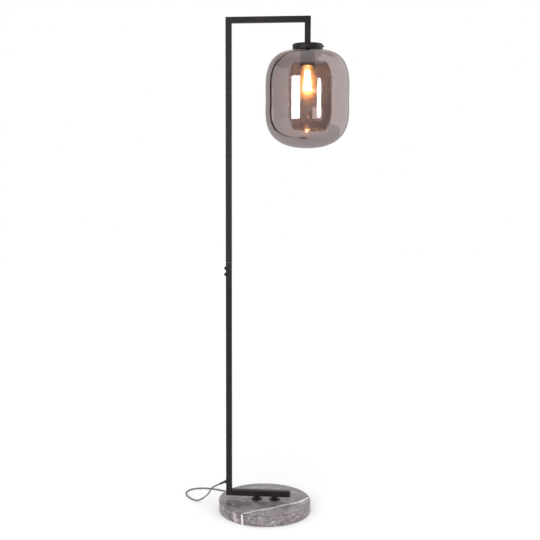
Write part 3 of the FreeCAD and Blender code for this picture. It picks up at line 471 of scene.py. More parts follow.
def marble():
    """Honed grey marble: soft clouds, hairline cracks, the foot's pale and dark veins, and painted shade
    along the eased top edge.
    """
    f = Finish("marble")
    place = f.place()
    c = colours()
    dark_tone, light_tone, vein_tone = tuple(c.marble_dark), tuple(c.marble_light), tuple(c.marble_vein)
    middle = tuple((a + b) / 2 for a, b in zip(dark_tone, light_tone))

    # the veins wander a little and the cracks more; on the top a vein keeps its height
    shift = f.node("ShaderNodeTexNoise", Vector=place, Scale=34.0, Detail=5.0, Roughness=0.62)
    wander = f.vector("SUBTRACT", shift.outputs["Color"], (0.5, 0.5, 0.5))
    warped = f.vector("ADD", place, f.scale(f.vector("MULTIPLY", wander, (1.0, 1.0, 0.12)), 0.011))
    strayed = f.vector("ADD", place, f.scale(wander, 0.06))

    # clouds, wisps, flakes and grain
    cloud = f.noise(13.0, 7.0, 0.66, 1.4)
    wisp = f.noise(1.0, 5.0, 0.62, 1.6, place=f.node(
        "ShaderNodeMapping", Vector=place, Rotation=(0.0, 0.0, 0.65), Scale=(26.0, 64.0, 50.0)).outputs[0])
    grain = f.noise(170.0, 6.0, 0.72, 0.6)
    sheet = f.noise(1.0, 6.0, 0.68, 1.1, place=f.stretched((9.0, 20.0, 30.0)))
    flake = f.noise(75.0, 5.0, 0.7, 1.8)
    warm = f.noise(7.0, 3.0, 0.5, 0.5)
    body = f.ramp(cloud, ((0.36, dark_tone), (0.50, middle), (0.64, light_tone)))
    for factor, low, high, share, tone in (
        (sheet, 0.35, 0.70, 0.45, light_tone),
        (grain, 0.38, 0.62, 0.55, scaled(dark_tone, 0.72)),
        (flake, 0.52, 0.66, 0.55, scaled(light_tone, 1.25)),
        (wisp, 0.50, 0.66, 0.70, scaled(dark_tone, 0.60)),
        (wisp, 0.46, 0.34, 0.55, scaled(light_tone, 1.1)),
        (warm, 0.45, 0.70, 0.30, (0.30, 0.235, 0.215)),
    ):
        body = f.mix(f.spread(factor, low, high, 0.0, share), body, tone)

    # dark cracks and pale hairs, each in patches
    patchy = f.spread(f.noise(11.0, 2.0), 0.46, 0.6, 0.0, 1.0)
    cracks = f.math("MULTIPLY", f.seams(strayed, 17.0, 0.045, 0.55), patchy)
    body = f.mix(cracks, body, scaled(dark_tone, 0.55))
    patchy = f.spread(f.noise(9.0, 2.0, 0.5, 2.0), 0.5, 0.64, 0.0, 1.0)
    hairs = f.math("MULTIPLY", f.seams(strayed, 29.0, 0.03, 0.42), patchy)
    body = f.mix(hairs, body, vein_tone)

    # veins, broken by the grain
    broken = f.spread(f.noise(120.0, 4.0, 0.7), 0.34, 0.50, 0.5, 1.0)
    body = f.mix(f.math("MULTIPLY", vein_field(f, warped, DARK_VEINS), broken), body, scaled(dark_tone, 0.42))
    body = f.mix(f.math("MULTIPLY", vein_field(f, warped, PALE_VEINS), broken), body, vein_tone)

    # painted shade: the eased top edge is darkened where it turns from the top to the side
    out = f.vector("LENGTH", f.vector("MULTIPLY", place, (1.0, 1.0, 0.0)), output=1)
    rim = f.spread(out, (FOOT_R - 2.6) * MM, (FOOT_R - 1.4) * MM, 0.0, 1.0)
    height = f.node("ShaderNodeSeparateXYZ", Vector=place).outputs["Z"]
    high = f.spread(height, (FOOT_TOP_Z - 2.6) * MM, (FOOT_TOP_Z - 1.2) * MM, 0.0, 0.55)
    body = f.mix(f.math("MULTIPLY", rim, high), body, scaled(dark_tone, 0.45))
    rough = f.spread(grain, 0.3, 0.7, 0.24, 0.36)
    return f.done(f.surface(Base_Color=body, Roughness=rough, Normal=f.bump(grain, 0.00006, 0.35)))


# ---- glass ----
def coated_glass(name, tint, mirror, head_on, edge_on, roughness, haze=0.0):
    """One face of half-mirrored glass: a see-through part that darkens towards the edge, and a mirror coat.

    Haze adds a thin uneven film that scatters the bulb's light in specks.
    """
    f = Finish(name)
    facing = f.facing()
    share = f.spread(facing, 0.0, 1.0, head_on, edge_on)
    height = f.node("ShaderNodeSeparateXYZ", Vector=f.place()).outputs["Z"]
    shoulder = f.spread(height, *((SHADE_BOTTOM_Z + z) * MM for z in SHOULDER_FADE), 0.0, 1.0)
    # the see-through tint darkens towards the outline and is paler towards the shoulder
    thick = f.mix(facing, tuple(tint), tuple(x ** 3.5 for x in tint))
    thin = f.mix(facing, tuple(x ** 0.5 for x in tint), tuple(tint))
    clear = f.clear(Color=f.mix(shoulder, thick, thin))
    ripple = f.bump(f.noise(16.0, 2.0, 0.4), 0.0004, 0.25)
    streak = f.spread(f.noise(40.0, 3.0), 0.3, 0.7, roughness * 0.8, roughness * 1.2)
    coat = f.surface(Base_Color=rgba(mirror), Metallic=1.0, Roughness=streak, Normal=ripple)
    shader = f.blend(share, clear, coat)
    if haze:
        seeds = f.bump(f.noise(190.0, 2.0, 0.5), 0.0024)
        film = f.surface(Base_Color=rgba(mirror), Metallic=1.0, Roughness=0.08, Normal=seeds)
        spots = f.spread(f.noise(260.0, 2.0, 0.5), 0.58, 0.63, haze, haze + 0.60)
        shader = f.blend(spots, shader, film)
    return f.done(shader)


def amber_glass(name, tint, middle, rim, glow):
    """Tinted bulb glass with the amber glow that the rods spread in it, fading towards its outline."""
    f = Finish(name)
    share = f.ramp(f.facing(), (
        (0.0, middle), (0.10, middle * 0.55 + rim * 0.45), (0.26, middle * 0.16 + rim * 0.84), (0.8, rim),
    ))
    swirl = f.bump(f.noise(60.0, 2.0), 0.0003, 0.2)
    rough = f.spread(f.noise(90.0), 0.3, 0.7, 0.03, 0.08)
    wall = f.surface(Base_Color=(0.42, 0.19, 0.06, 1.0), Roughness=rough, Normal=swirl,
                     Emission_Color=(1.0, 0.64, 0.32, 1.0), Emission_Strength=glow)
    return f.done(f.blend(share, f.clear(Color=rgba(tint)), wall))


def stem_glass():
    """Clear drawn glass of the bulb's stem."""
    f = Finish("stem_glass")
    share = f.spread(f.facing(), 0.0, 1.0, 0.1, 0.8)
    rough = f.spread(f.noise(200.0), 0.3, 0.7, 0.04, 0.12)
    wall = f.surface(Base_Color=(0.6, 0.58, 0.52, 1.0), Roughness=rough)
    return f.done(f.blend(share, f.clear(Color=(0.95, 0.95, 0.93, 1.0)), wall))


def black_glass():
    """Dark vitreous insulator."""
    f = Finish("black_glass")
    tone = f.ramp(f.noise(220.0, 4.0, 0.6), ((0.3, (0.010, 0.008, 0.012)), (0.8, (0.04, 0.032, 0.045))))
    return f.done(f.surface(Base_Color=tone, Roughness=f.spread(f.noise(500.0), 0.3, 0.7, 0.08, 0.2)))


def glowing_rod():
    """Phosphor-coated glowing rod."""
    f = Finish("glowing_rod")
    grain = f.noise(900.0, 2.0)
    glow = colours().glow
    tone = f.mix(f.spread(grain, 0.3, 0.7, 0.0, 0.4), tuple(glow), (1.0, 0.86, 0.55))
    return f.done(f.surface(Base_Color=tone, Roughness=0.5, Normal=f.bump(grain, 0.00005, 0.6),
                            Emission_Color=rgba(glow), Emission_Strength=150.0))


# ---- meshes ----
def mesh_object(name, vertices, faces, materials):
    """An object in the scene with a mesh of its own."""
    mesh = bpy.data.meshes.new(name)
    mesh.from_pydata(vertices, [], faces)
    for material in materials:
        mesh.materials.append(material)
    piece = bpy.data.objects.new(name, mesh)
    bpy.context.scene.collection.objects.link(piece)
    return piece


def new_piece(name, vertices, faces, materials, slots=None, sharp_angle=35.0):
    """A mesh object with smooth shading, creased where faces meet at more than the angle."""
    piece = mesh_object(name, vertices, faces, materials)
    mesh = piece.data
    if slots:
        for polygon, index in zip(mesh.polygons, slots):
            polygon.material_index = index
    mesh.shade_smooth()
    mesh.set_sharp_from_angle(angle=math.radians(sharp_angle))
    mesh.update()
    return piece


def revolved(profile, steps, place=(0.0, 0.0), wave=None):
    """A closed outline of (radius, z) in millimetres turned about a vertical axis.

    Gives vertices, faces and, for each face, the number of the outline point that it starts from.
    Points at radius 0 become one vertex. wave(angle, radius, z) may add to the radius.
    """
    vertices = []
    rows = []
    for radius, z in profile:
        if radius < 1e-6:
            rows.append([len(vertices)] * steps)
            vertices.append((place[0] * MM, place[1] * MM, z * MM))
            continue
        row = []
        for k in range(steps):
            angle = 2 * math.pi * k / steps
            r = radius + (wave(angle, radius, z) if wave else 0.0)
            row.append(len(vertices))
            spot = (place[0] + r * math.cos(angle), place[1] + r * math.sin(angle), z)
            vertices.append(tuple(value * MM for value in spot))
        rows.append(row)
    faces = []
    spans = []
    for index, (low, high) in enumerate(zip(rows, rows[1:] + rows[:1])):
        if low[0] == low[-1] and high[0] == high[-1]:
            continue
        for k in range(steps):
            j = (k + 1) % steps
            corners = [low[k], low[j], high[j], high[k]]
            faces.append([v for n, v in enumerate(corners) if v not in corners[:n]])
            spans.append(index)
    return vertices, faces, spans


def placed(profile, steps, foot, direction):
    """A turned outline that starts at its foot and points along a direction."""
    vertices, faces, _ = revolved(profile, steps)
    turn = Vector((0, 0, 1)).rotation_difference(direction).to_matrix().to_4x4()
    move = Matrix.Translation(foot * MM) @ turn
    return [tuple(move @ Vector(v)) for v in vertices], faces


def joined(parts):
    """Vertices and faces of several parts as one."""
    vertices, faces = [], []
    for spots, sides in parts:
        base = len(vertices)
        vertices += spots
        faces += [[v + base for v in side] for side in sides]
    return vertices, faces


def smooth_curve(points, start, end, per_span):
    """Points along the smooth curve through given points with given end directions.

    The slopes at the points make curvature run on from span to span; each span is then a cubic.
    """
    count = len(points)
    gaps = [math.dist(a, b) for a, b in zip(points, points[1:])]
    lower = [0.0, *(1 / gap for gap in gaps[:-1]), 0.0]
    upper = [0.0, *(1 / gap for gap in gaps[1:]), 0.0]
    slopes = []
    for axis in (0, 1):
        steps = [b[axis] - a[axis] for a, b in zip(points, points[1:])]
        diagonal = [1.0, *(2 / a + 2 / b for a, b in zip(gaps, gaps[1:])), 1.0]
        pulls = [3 * step / gap ** 2 for step, gap in zip(steps, gaps)]
        right = [start[axis], *(a + b for a, b in zip(pulls, pulls[1:])), end[axis]]
        for i in range(1, count):
            factor = lower[i] / diagonal[i - 1]
            diagonal[i] -= factor * upper[i - 1]
            right[i] -= factor * right[i - 1]
        values = [0.0] * count
        values[-1] = right[-1] / diagonal[-1]
        for i in range(count - 2, -1, -1):
            values[i] = (right[i] - upper[i] * values[i + 1]) / diagonal[i]
        slopes.append(values)
    curve = []
    for i in range(count - 1):
        for k in range(per_span + (i == count - 2)):
            t = k / per_span
            h = gaps[i]
            spot = []
            for axis in (0, 1):
                p, q = points[i][axis], points[i + 1][axis]
                m, n = slopes[axis][i] * h, slopes[axis][i + 1] * h
                spot.append((2 * t ** 3 - 3 * t ** 2 + 1) * p + (t ** 3 - 2 * t ** 2 + t) * m
                            + (3 * t ** 2 - 2 * t ** 3) * q + (t ** 3 - t ** 2) * n)
            curve.append(tuple(spot))
    return curve


def offset_curve(curve, wall):
    """The curve moved inwards by the wall's thickness; it starts on the axis."""
    moved = []
    for i, (r, z) in enumerate(curve):
        before = curve[max(0, i - 1)]
        after = curve[min(len(curve) - 1, i + 1)]
        dr, dz = after[0] - before[0], after[1] - before[1]
        step = math.hypot(dr, dz)
        if i == 0:
            moved.append((0.0, z + wall))
        else:
            moved.append((r - dz / step * wall, z + dr / step * wall))
    return moved


def arc(centre, radius, start, end, steps):
    """Points of an arc in the (radius, z) plane; angles in degrees."""
    angles = [math.radians(start + (end - start) * k / steps) for k in range(steps + 1)]
    return [(centre[0] + radius * math.cos(a), centre[1] + radius * math.sin(a)) for a in angles]


def finish_node(material, *names):
    """Give carried-over pieces their material."""
    for name in names:
        mesh = nodes[name].data
        mesh.materials.clear()
        mesh.materials.append(material)
        for polygon in mesh.polygons:
            polygon.material_index = 0


# ---- operators ----
class LAMP_OT_frame(bpy.types.Operator):
    """Finish the square-tube frame, its seam sleeve, screws and end plug"""

    bl_idname = "lamp.frame"
    bl_label = "Frame"

    def execute(self, context):
        finish_node(powder_coat(), "lower_frame", "upper_frame", "joint_screws")
        finish_node(moulded_plastic(), "foot_end_plug")
        finish_node(steel(), "joint_sleeve", "drop_insert")
        return {"FINISHED"}


class LAMP_OT_foot(bpy.types.Operator):
    """Finish the marble foot, its pad, spacers, bolts and inserts"""

    bl_idname = "lamp.foot"
    bl_label = "Foot"

    def execute(self, context):
        finish_node(marble(), "marble_base")
        finish_node(felt(), "base_pad")
        finish_node(powder_coat(), "standoff_left", "standoff_right")
        finish_node(steel(), "base_bolts", "base_washers", "foot_inserts")
        return {"FINISHED"}


class LAMP_OT_cap(bpy.types.Operator):
    """Finish the cap over the shade, its thumb screws, nipple, nut and gasket"""

    bl_idname = "lamp.cap"
    bl_label = "Cap"

    def execute(self, context):
        finish_node(powder_coat(), "shade_cap", "gallery_screw_1", "gallery_screw_2", "gallery_screw_3")
        finish_node(soft_rubber(), "shade_gasket", "screw_tip_1", "screw_tip_2", "screw_tip_3")
        finish_node(steel(), "cap_nipple", "nipple_nut")
        return {"FINISHED"}


class LAMP_OT_holder(bpy.types.Operator):
    """Finish the lamp holder and the lead inside the tubes"""

    bl_idname = "lamp.holder"
    bl_label = "Lamp holder"

    def execute(self, context):
        finish_node(powder_coat(), "holder_cover")
        finish_node(ceramic(), "holder_core")
        finish_node(brass(), "holder_shell", "holder_contact")
        finish_node(cord_sheath(), "inner_lead")
        return {"FINISHED"}


class LAMP_OT_shade(bpy.types.Operator):
    """Blow the smoked glass shade with its neck and bead"""

    bl_idname = "lamp.shade"
    bl_label = "Glass shade"

    def execute(self, context):
        wall = sizes().shade_wall / MM
        body = smooth_curve(SHADE_OUTLINE, (1.0, 0.0), (-0.99955, 0.03), 9)
        cove_z = SHADE_OUTLINE[-1][1] + NECK_COVE
        centre = (NECK_R + NECK_COVE, cove_z)
        outer = body[:-1] + arc(centre, NECK_COVE, 270, 180, 8)
        outer += [(NECK_R, z) for z in NECK_RINGS]
        bead = arc((NECK_R, BEAD_Z + BEAD_H / 2), BEAD_H / 2, -90, 90, 8)
        outer += [(NECK_R + (r - NECK_R) * BEAD_OUT / (BEAD_H / 2), z) for r, z in bead]
        bore = NECK_R - wall
        inner = offset_curve(body, wall)[:-1] + arc(centre, NECK_COVE + wall, 270, 180, 8)
        inner += [(bore, z) for z in BORE_RINGS]
        rim = [(bore + RIM_BEVEL, BEAD_Z + BEAD_H), (bore, BEAD_Z + BEAD_H - RIM_BEVEL)]
        profile = [(r, z + SHADE_BOTTOM_Z) for r, z in outer + rim + inner[::-1]]
        vertices, faces, spans = revolved(profile, 160, (AXIS_X, 0.0))
        c = colours()
        outside = coated_glass("shade_glass_outside", c.smoke, c.mirror, 0.150, 0.30, 0.02)
        inside = coated_glass("shade_glass_inside", c.smoke, c.mirror, 0.06, 0.08, 0.03, haze=0.035)
        slots = [0 if span < len(outer) else 1 for span in spans]
        glass = new_piece("shade_glass", vertices, faces, (outside, inside), slots, 50.0)
        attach(glass, "shade")
        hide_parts("glass_shade")
        return {"FINISHED"}


class LAMP_OT_bulb(bpy.types.Operator):
    """Build the bulb: amber envelope, threaded cap, glowing rods, and finish its inner parts"""

    bl_idname = "lamp.bulb"
    bl_label = "Bulb"

    def execute(self, context):
        wall = sizes().bulb_wall / MM
        body = smooth_curve(BULB_OUTLINE, (1.0, 0.0), (-0.139, 0.990), 8)
        low_z, high_z = CAP_THREAD[0], CAP_THREAD[0] + BULB_NECK_DEPTH
        bore = BULB_NECK_R - wall
        outer = body + [(BULB_NECK_R, low_z), (BULB_NECK_R, high_z)]
        inner = offset_curve(body, wall) + [(bore, low_z - 0.4), (bore, high_z)]
        vertices, faces, spans = revolved(outer + inner[::-1], 96, (AXIS_X, 0.0))
        c = colours()
        outside = amber_glass("bulb_glass_outside", c.amber, 0.36, 0.014, 10.0)
        inside = amber_glass("bulb_glass_inside", (1.0, 0.96, 0.88), 0.03, 0.08, 0.6)
        slots = [0 if span < len(outer) else 1 for span in spans]
        envelope = new_piece("bulb_envelope", vertices, faces, (outside, inside), slots, 50.0)
        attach(envelope, "bulb_turn")
        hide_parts("bulb_glass")
        self.threaded_cap()
        self.rods()
        finish_node(stem_glass(), "bulb_stem")
        finish_node(black_glass(), "bulb_insulator")
        finish_node(steel(), "bulb_contact", "filament_wires")
        return {"FINISHED"}

    def threaded_cap(self):
        """Rolled thread on the bulb's screw cap."""
        low, high = CAP_THREAD
        start, end = THREAD_ENDS

        def thread(angle, radius, z):
            if radius < BULB_NECK_R or not low + start < z < high - end:
                return 0.0
            fade = min(1.0, (z - low - start) / THREAD_FADE, (high - end - z) / THREAD_FADE)
            phase = 2 * math.pi * (z - low) / THREAD_PITCH + angle
            return -THREAD_DEPTH * fade * (0.5 - 0.5 * math.cos(phase))

        outside = [(CAP_R, low + (high - low) * k / 44) for k in range(45)]
        shoulder = [(12.2, high + 1.0), (10.6, high + 2.4), (9.6, high + 3.0), (9.0, high + 3.0)]
        profile = [(CAP_BORE_R, low), *outside, *shoulder, (CAP_BORE_R, high - 0.4)]
        vertices, faces, _ = revolved(profile, 72, (AXIS_X, 0.0), thread)
        cap = new_piece("bulb_screw_cap", vertices, faces, (brass(),))
        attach(cap, "bulb_turn")
        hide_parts("bulb_cap")

    def rods(self):
        """Glowing rods that spread downwards, with rounded ends."""
        radius = sizes().filament_radius / MM
        parts = []
        for k in range(ROD_COUNT):
            angle = math.radians(360 / ROD_COUNT * k + ROD_FIRST_ANGLE)
            around = Vector((math.cos(angle), math.sin(angle), 0.0))
            low, high = (Vector((AXIS_X, 0.0, z)) + around * reach for reach, z in (ROD_LOW, ROD_HIGH))
            run = (high - low).length
            profile = [(0.0, 0.0), (radius * 0.6, 0.15), (radius * 0.95, 0.7), (radius, 1.6),
                       (radius * 1.02, run / 2), (radius, run - 1.6), (radius * 0.95, run - 0.7),
                       (radius * 0.6, run - 0.15), (0.0, run)]
            parts.append(placed(profile, 14, low, high - low))
        rods = new_piece("filament_rods", *joined(parts), (glowing_rod(),))
        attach(rods, "bulb_turn")
        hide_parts("filaments")


def boot_direction():
    """The way the cord leaves the strain relief."""
    tilt = math.radians(BOOT_TILT)
    return Vector((-math.cos(tilt), 0.0, -math.sin(tilt)))


def boot_face():
    """Centre of the flange that the boot grows out of."""
    return Vector((POLE_FACE_X - BOOT_START, 0.0, EXIT_Z))


def hank_place(along, across, z):
    """A point of the hank's own frame, behind the foot."""
    polar = math.radians(HANK_ANGLE)
    turn = math.radians(HANK_TILT - HANK_ANGLE)
    x = HANK_DISTANCE * math.sin(polar) + along * math.cos(turn) - across * math.sin(turn)
    y = HANK_DISTANCE * math.cos(polar) + along * math.sin(turn) + across * math.cos(turn)
    return Vector((x, y, z))


def plug_place(along, across, z):
    """A point of the plug's own frame, along its pins and across them."""
    polar = math.radians(PLUG_ANGLE)
    x = PLUG_DISTANCE * math.sin(polar) + along * math.cos(polar) + across * math.sin(polar)
    y = PLUG_DISTANCE * math.cos(polar) - along * math.sin(polar) + across * math.cos(polar)
    return Vector((x, y, z))


def hank_points():
    """Control points of the hank: loops spiral in on the floor, climb on one run and spiral out."""
    low_z, high_z = HANK_LAYERS_Z
    runs = []
    for i, (near, far) in enumerate(zip(HANK_NEAR, HANK_FAR)):
        runs.append((near, -1, low_z, low_z))
        runs.append((far, 1, low_z, high_z if i == len(HANK_NEAR) - 1 else low_z))
    for i in reversed(range(len(HANK_NEAR))):
        runs.append((HANK_NEAR[i], -1, high_z, high_z))
        if i > 0:
            runs.append((HANK_FAR[i - 1], 1, high_z, high_z))
    opening = HANK_WAIST * (1 - HANK_RUN / 2 / (HANK_RUN / 2 + HANK_NEAR[0]))
    step = 180.0 / FOLD_POINTS
    points = [hank_place(-HANK_RUN / 2, opening - HANK_NEAR[0], low_z)]
    for k, (offset, side, start_z, end_z) in enumerate(runs):
        points.append(hank_place(0.0, side * (offset - HANK_WAIST), (start_z + end_z) / 2))
        if k == len(runs) - 1:
            break
        following = runs[k + 1][0]
        centre = (-side * HANK_RUN / 2, side * (offset - following) / 2)
        radius = (offset + following) / 2 / math.cos(math.radians(step / 2))
        for n in range(FOLD_POINTS):
            angle = math.radians(side * 90 + step * (n + 0.5))
            along, across = centre[0] + radius * math.cos(angle), centre[1] + radius * math.sin(angle)
            points.append(hank_place(along, across, end_z))
    points.append(hank_place(HANK_RUN / 2, opening - HANK_NEAR[0], high_z))
    return points


class LAMP_OT_cord(bpy.types.Operator):
    """Lay the mains cord, its strain relief, its tied hank and its plug"""

    bl_idname = "lamp.cord"
    bl_label = "Mains cord"

    def execute(self, context):
        boot = self.strain_relief()
        way_out = boot_direction()
        exit_point = boot_face() + way_out * BOOT_LENGTH
        hank = hank_points()
        arriving = (hank[1] - hank[0]).normalized()
        heading = (hank[-1] - hank[-2]).normalized()
        points = [exit_point, exit_point + way_out * FIRST_RUN]
        points += [Vector(point) for point in CORD_ROUTE]
        points.append(hank[0] - arriving * LAST_RUN)
        points += hank
        points.append(hank[-1] + heading * TAIL_RUNS[0])
        points.append(plug_place(PLUG_REAR - TAIL_RUNS[1], 0.0, PLUG_AXIS_Z + 0.1))
        points.append(plug_place(PLUG_REAR, 0.0, PLUG_AXIS_Z))
        curve = bpy.data.curves.new("mains_cord", "CURVE")
        curve.dimensions = "3D"
        spline = curve.splines.new("NURBS")
        spline.points.add(len(points) - 1)
        for control, point in zip(spline.points, points):
            control.co = (*(point * MM), 1.0)
        spline.order_u = 3
        spline.use_endpoint_u = True
        spline.resolution_u = 6
        curve.bevel_depth = sizes().cord_diameter / 2
        curve.bevel_resolution = 5
        curve.use_fill_caps = True
        curve.materials.append(cord_sheath())
        cord = bpy.data.objects.new("mains_cord", curve)
        context.scene.collection.objects.link(cord)
        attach(cord, "stand")
        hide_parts("cord", "cord_hank", "cord_tail")
        finish_node(moulded_plastic(), "plug_body", "hank_tie")
        finish_node(brass(), "plug_pins")
        return {"FINISHED"}

    def strain_relief(self):
        """Tapered boot with flex grooves, drawn over the cord's first stretch."""
        profile = [(0.0, -2.0), (4.4, -2.0), (4.4, 0.8)]
        for k in range(BOOT_GROOVES):
            start = 1.6 + k * (BOOT_BODY - 4.0) / BOOT_GROOVES
            r = 4.3 - 1.3 * start / BOOT_BODY
            profile += [(r, start), (r - 0.1, start + 1.5), (r - 0.75, start + 1.9), (r - 0.8, start + 2.8)]
        profile += [(3.05, BOOT_BODY - 2.2), (2.95, BOOT_BODY - 0.6), (2.6, BOOT_BODY), (0.0, BOOT_BODY)]
        flange = [(0.0, -2.58), (5.7, -2.58), (6.0, -2.2), (6.0, -0.6), (5.7, -0.1), (5.2, 0.0), (0.0, 0.0)]
        sleeve = placed(profile, 40, boot_face(), boot_direction())
        collar = placed(flange, 40, boot_face(), Vector((-1, 0, 0)))
        boot = new_piece("cord_boot", *joined((sleeve, collar)), (moulded_plastic(),), sharp_angle=32.0)
        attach(boot, "stand")
        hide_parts("cord_gland")
        return boot


# ---- stage ----
def curved_panel(name, azimuths, outline, material, pill=False, steps=24):
    """Part of a round wall about the shade's axis, seen only in reflections.

    Azimuth 0 faces the camera; outline is (radius, z) in metres; a pill narrows to round ends.
    """
    lengths = [math.dist(a, b) for a, b in zip(outline, outline[1:])]
    vertices, faces = [], []
    middle, half = (azimuths[0] + azimuths[1]) / 2, (azimuths[1] - azimuths[0]) / 2
    places = []
    for i, (a, b) in enumerate(zip(outline, outline[1:])):
        count = max(1, round(PANEL_ROWS * lengths[i] / sum(lengths)))
        places += [(a[0] + (b[0] - a[0]) * k / count, a[1] + (b[1] - a[1]) * k / count) for k in range(count)]
    places.append(outline[-1])
    for k in range(steps + 1):
        for j, (radius, z) in enumerate(places):
            v = 2 * j / (len(places) - 1) - 1
            width = math.sqrt(max(0.0, 1 - abs(v) ** 3)) if pill else 1.0
            angle = math.radians(middle + half * width * (2 * k / steps - 1))
            vertices.append((AXIS_X * MM + radius * math.sin(angle), -radius * math.cos(angle), z))
    count = len(places)
    for k in range(steps):
        for j in range(count - 1):
            a = k * count + j
            faces.append((a, a + 1, a + 1 + count, a + count))
    panel = mesh_object(name, vertices, faces, (material,))
    panel.visible_camera = False
    panel.visible_diffuse = False
    panel.visible_shadow = False
    panel.visible_transmission = False


def light_sheet(name, strength, tint=(1.0, 1.0, 1.0), azimuths=None, top=None, soft=5.0):
    """Even glow for a softbox or a dark wall.

    Given its azimuths and its top, it fades out at all its edges.
    """
    f = Finish(name)
    glow = f.node("ShaderNodeEmission", Color=rgba(tint), Strength=strength).outputs[0]
    if azimuths is None:
        return f.done(glow)
    place = f.node("ShaderNodeSeparateXYZ", Vector=f.place())
    across = f.math("SUBTRACT", place.outputs["X"], AXIS_X * MM)
    ahead = f.math("MULTIPLY", place.outputs["Y"], -1.0)
    azimuth = f.math("DEGREES", f.math("ARCTAN2", across, ahead))
    squares = f.math("ADD", f.math("MULTIPLY", across, across), f.math("MULTIPLY", ahead, ahead))
    reach = f.math("SQRT", squares)
    left = f.spread(azimuth, azimuths[0], azimuths[0] + soft, 0.0, 1.0)
    right = f.spread(azimuth, azimuths[1] - soft, azimuths[1], 1.0, 0.0)
    upper = f.spread(place.outputs["Z"], top * 0.72, top, 1.0, 0.0)
    swing = f.math("DIVIDE", f.math("SUBTRACT", azimuth, sum(azimuths) / 2), (azimuths[1] - azimuths[0]) / 2)
    inward = f.math("SUBTRACT", reach, f.math("MULTIPLY", f.math("MULTIPLY", swing, swing), 0.42))
    lower = f.spread(inward, 0.70, 0.90, 0.0, 1.0)
    share = f.math("MULTIPLY", f.math("MULTIPLY", left, right), f.math("MULTIPLY", upper, lower))
    return f.done(f.blend(share, f.clear(), glow))


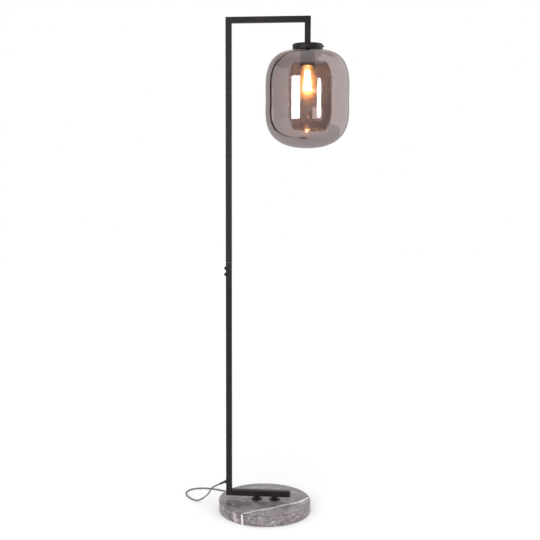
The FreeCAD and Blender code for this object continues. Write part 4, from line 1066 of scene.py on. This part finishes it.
class LAMP_OT_stage(bpy.types.Operator):
    """Set the floor, the studio light, the reflected room and the camera"""

    bl_idname = "lamp.stage"
    bl_label = "Stage"

    def execute(self, context):
        self.camera(context)
        self.world(context)
        self.floor()
        self.lights()
        self.reflected_room()
        context.scene.view_settings.view_transform = "Standard"
        return {"FINISHED"}

    def camera(self, context):
        data = bpy.data.cameras.new("camera")
        data.sensor_width = CAMERA_SENSOR
        data.lens = CAMERA_LENS
        data.shift_x, data.shift_y = CAMERA_SHIFT
        data.clip_end = VIEW_REACH
        camera = bpy.data.objects.new("camera", data)
        context.scene.collection.objects.link(camera)
        yaw, pitch = math.radians(CAMERA_YAW), math.radians(CAMERA_PITCH)
        level = math.cos(pitch)
        forward = Vector((-math.sin(yaw) * level, math.cos(yaw) * level, -math.sin(pitch)))
        right = Vector((math.cos(yaw), math.sin(yaw), 0.0))
        up = right.cross(forward)
        turn = Matrix((right, up, -forward)).transposed()
        camera.matrix_world = Matrix.Translation(CAMERA_PLACE) @ turn.to_4x4()
        context.scene.camera = camera

    def world(self, context):
        """White to the camera, in mirrors and through glass; softer as a light."""
        f = Finish("studio", bpy.data.worlds, "ShaderNodeOutputWorld")
        path = f.node("ShaderNodeLightPath").outputs
        seen = f.math("MAXIMUM", path["Is Camera Ray"], path["Is Glossy Ray"])
        seen = f.math("MAXIMUM", seen, path["Is Transmission Ray"])
        strength = f.spread(seen, 0.0, 1.0, WORLD_LIGHT, 1.0)
        background = f.node("ShaderNodeBackground", Color=WHITE, Strength=strength).outputs[0]
        context.scene.world = f.done(background)

    def floor(self):
        """Plain pale floor that keeps the lamp's shadow."""
        half = sizes().floor_width / 2
        corners = ((-half, -half), (half, -half), (half, half), (-half, half))
        f = Finish("studio_floor")
        path = f.node("ShaderNodeLightPath")
        seen = f.math("MAXIMUM", path.outputs["Is Camera Ray"], path.outputs["Is Glossy Ray"])
        lit = f.node("ShaderNodeBsdfDiffuse", Color=FLOOR_COLOUR).outputs[0]
        far = f.spread(f.vector("LENGTH", f.place(), output=1), *FLOOR_LIFT_REACH, *FLOOR_LIFT)
        lift = f.node("ShaderNodeEmission", Color=WHITE, Strength=f.math("MULTIPLY", seen, far)).outputs[0]
        finish = f.done(f.node("ShaderNodeAddShader", i0=lit, i1=lift).outputs[0])
        floor = mesh_object("floor", [(*corner, FLOOR_Z) for corner in corners], [(0, 1, 2, 3)], (finish,))

    def lights(self):
        """Wide soft lights: one from the front left, one from the right, one from above."""
        for name, place, target, size, power in LIGHTS:
            data = bpy.data.lights.new(name, "AREA")
            data.shape = "SQUARE"
            data.size = size
            data.energy = power
            light = bpy.data.objects.new(name, data)
            light.location = place
            light.rotation_euler = (Vector(target) - Vector(place)).to_track_quat("-Z", "Y").to_euler()
            light.visible_camera = False
            light.visible_glossy = False
            light.visible_transmission = False
            bpy.context.scene.collection.objects.link(light)

    def reflected_room(self):
        """The room that the half-mirrored glass shows."""
        dark = light_sheet("dark_room", 0.02, azimuths=(-52, 73), top=4.6, soft=9.0)
        box = light_sheet("softbox", 7.0)
        window = light_sheet("window", 1.6, (1.0, 0.98, 0.97), (66, 152), 4.2, 3.0)
        card = light_sheet("pale_card", 1.1)
        ceiling = light_sheet("ceiling", 0.68, (1.0, 0.98, 0.98))
        streak = light_sheet("streak", 1.5)
        middle = ROOM_MIDDLE_Z
        curved_panel("dark_room", (-52, 73), ((0.70, 0.02), (2.6, 0.02), (2.6, 4.6)), dark)
        curved_panel("left_softbox", (-41, -18), ((2.5, middle - 0.67), (2.5, middle + 0.67)), box)
        curved_panel("right_softbox", (27, 38), ((2.45, middle - 0.60), (2.45, middle + 0.52)), box, True)
        curved_panel("pale_card", (15, 42), ((2.5, middle - 0.75), (2.5, middle + 0.15)), card)
        curved_panel("dark_pillar", (-121, -116), ((2.4, 0.02), (2.4, 3.6)), light_sheet("dark_pillar", 0.03))
        curved_panel("streak", (-110, -102), ((2.5, 0.75), (2.5, 1.5)), streak, True)
        curved_panel("window", (66, 152), ((2.7, 0.1), (2.7, 4.2)), window)
        curved_panel("roof_light", (48, 120), ((6.0, 4.9), (1.6, 4.9)), light_sheet("roof_light", 1.35))
        curved_panel("ceiling", (-180, 180), ((7.0, 5.0), (0.05, 5.0)), ceiling, steps=48)


class LAMP_PT_parts(bpy.types.Panel):
    """Lists the lamp's pieces and their sizes and colours"""

    bl_label = "Globe floor lamp"
    bl_idname = "LAMP_PT_parts"
    bl_space_type = "VIEW_3D"
    bl_region_type = "UI"
    bl_category = "Floor lamp"

    def draw(self, context):
        for operator in OPERATORS:
            self.layout.operator(operator.bl_idname)
        for group in (context.scene.lamp_sizes, context.scene.lamp_colours):
            for name in group.__annotations__:
                self.layout.prop(group, name)


OPERATORS = (
    LAMP_OT_stage, LAMP_OT_cord, LAMP_OT_frame, LAMP_OT_foot, LAMP_OT_cap, LAMP_OT_holder, LAMP_OT_shade,
    LAMP_OT_bulb,
)
CLASSES = (LampSizes, LampColours, *OPERATORS, LAMP_PT_parts)


def register():
    for cls in CLASSES:
        bpy.utils.register_class(cls)
    bpy.types.Scene.lamp_sizes = bpy.props.PointerProperty(type=LampSizes)
    bpy.types.Scene.lamp_colours = bpy.props.PointerProperty(type=LampColours)


def unregister():
    del bpy.types.Scene.lamp_colours
    del bpy.types.Scene.lamp_sizes
    for cls in reversed(CLASSES):
        bpy.utils.unregister_class(cls)


def main():
    """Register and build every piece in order."""
    register()
    bpy.ops.lamp.stage()
    bpy.ops.lamp.cord()
    bpy.ops.lamp.frame()
    bpy.ops.lamp.foot()
    bpy.ops.lamp.cap()
    bpy.ops.lamp.holder()
    bpy.ops.lamp.shade()
    bpy.ops.lamp.bulb()


if __name__ == "__main__":
    main()
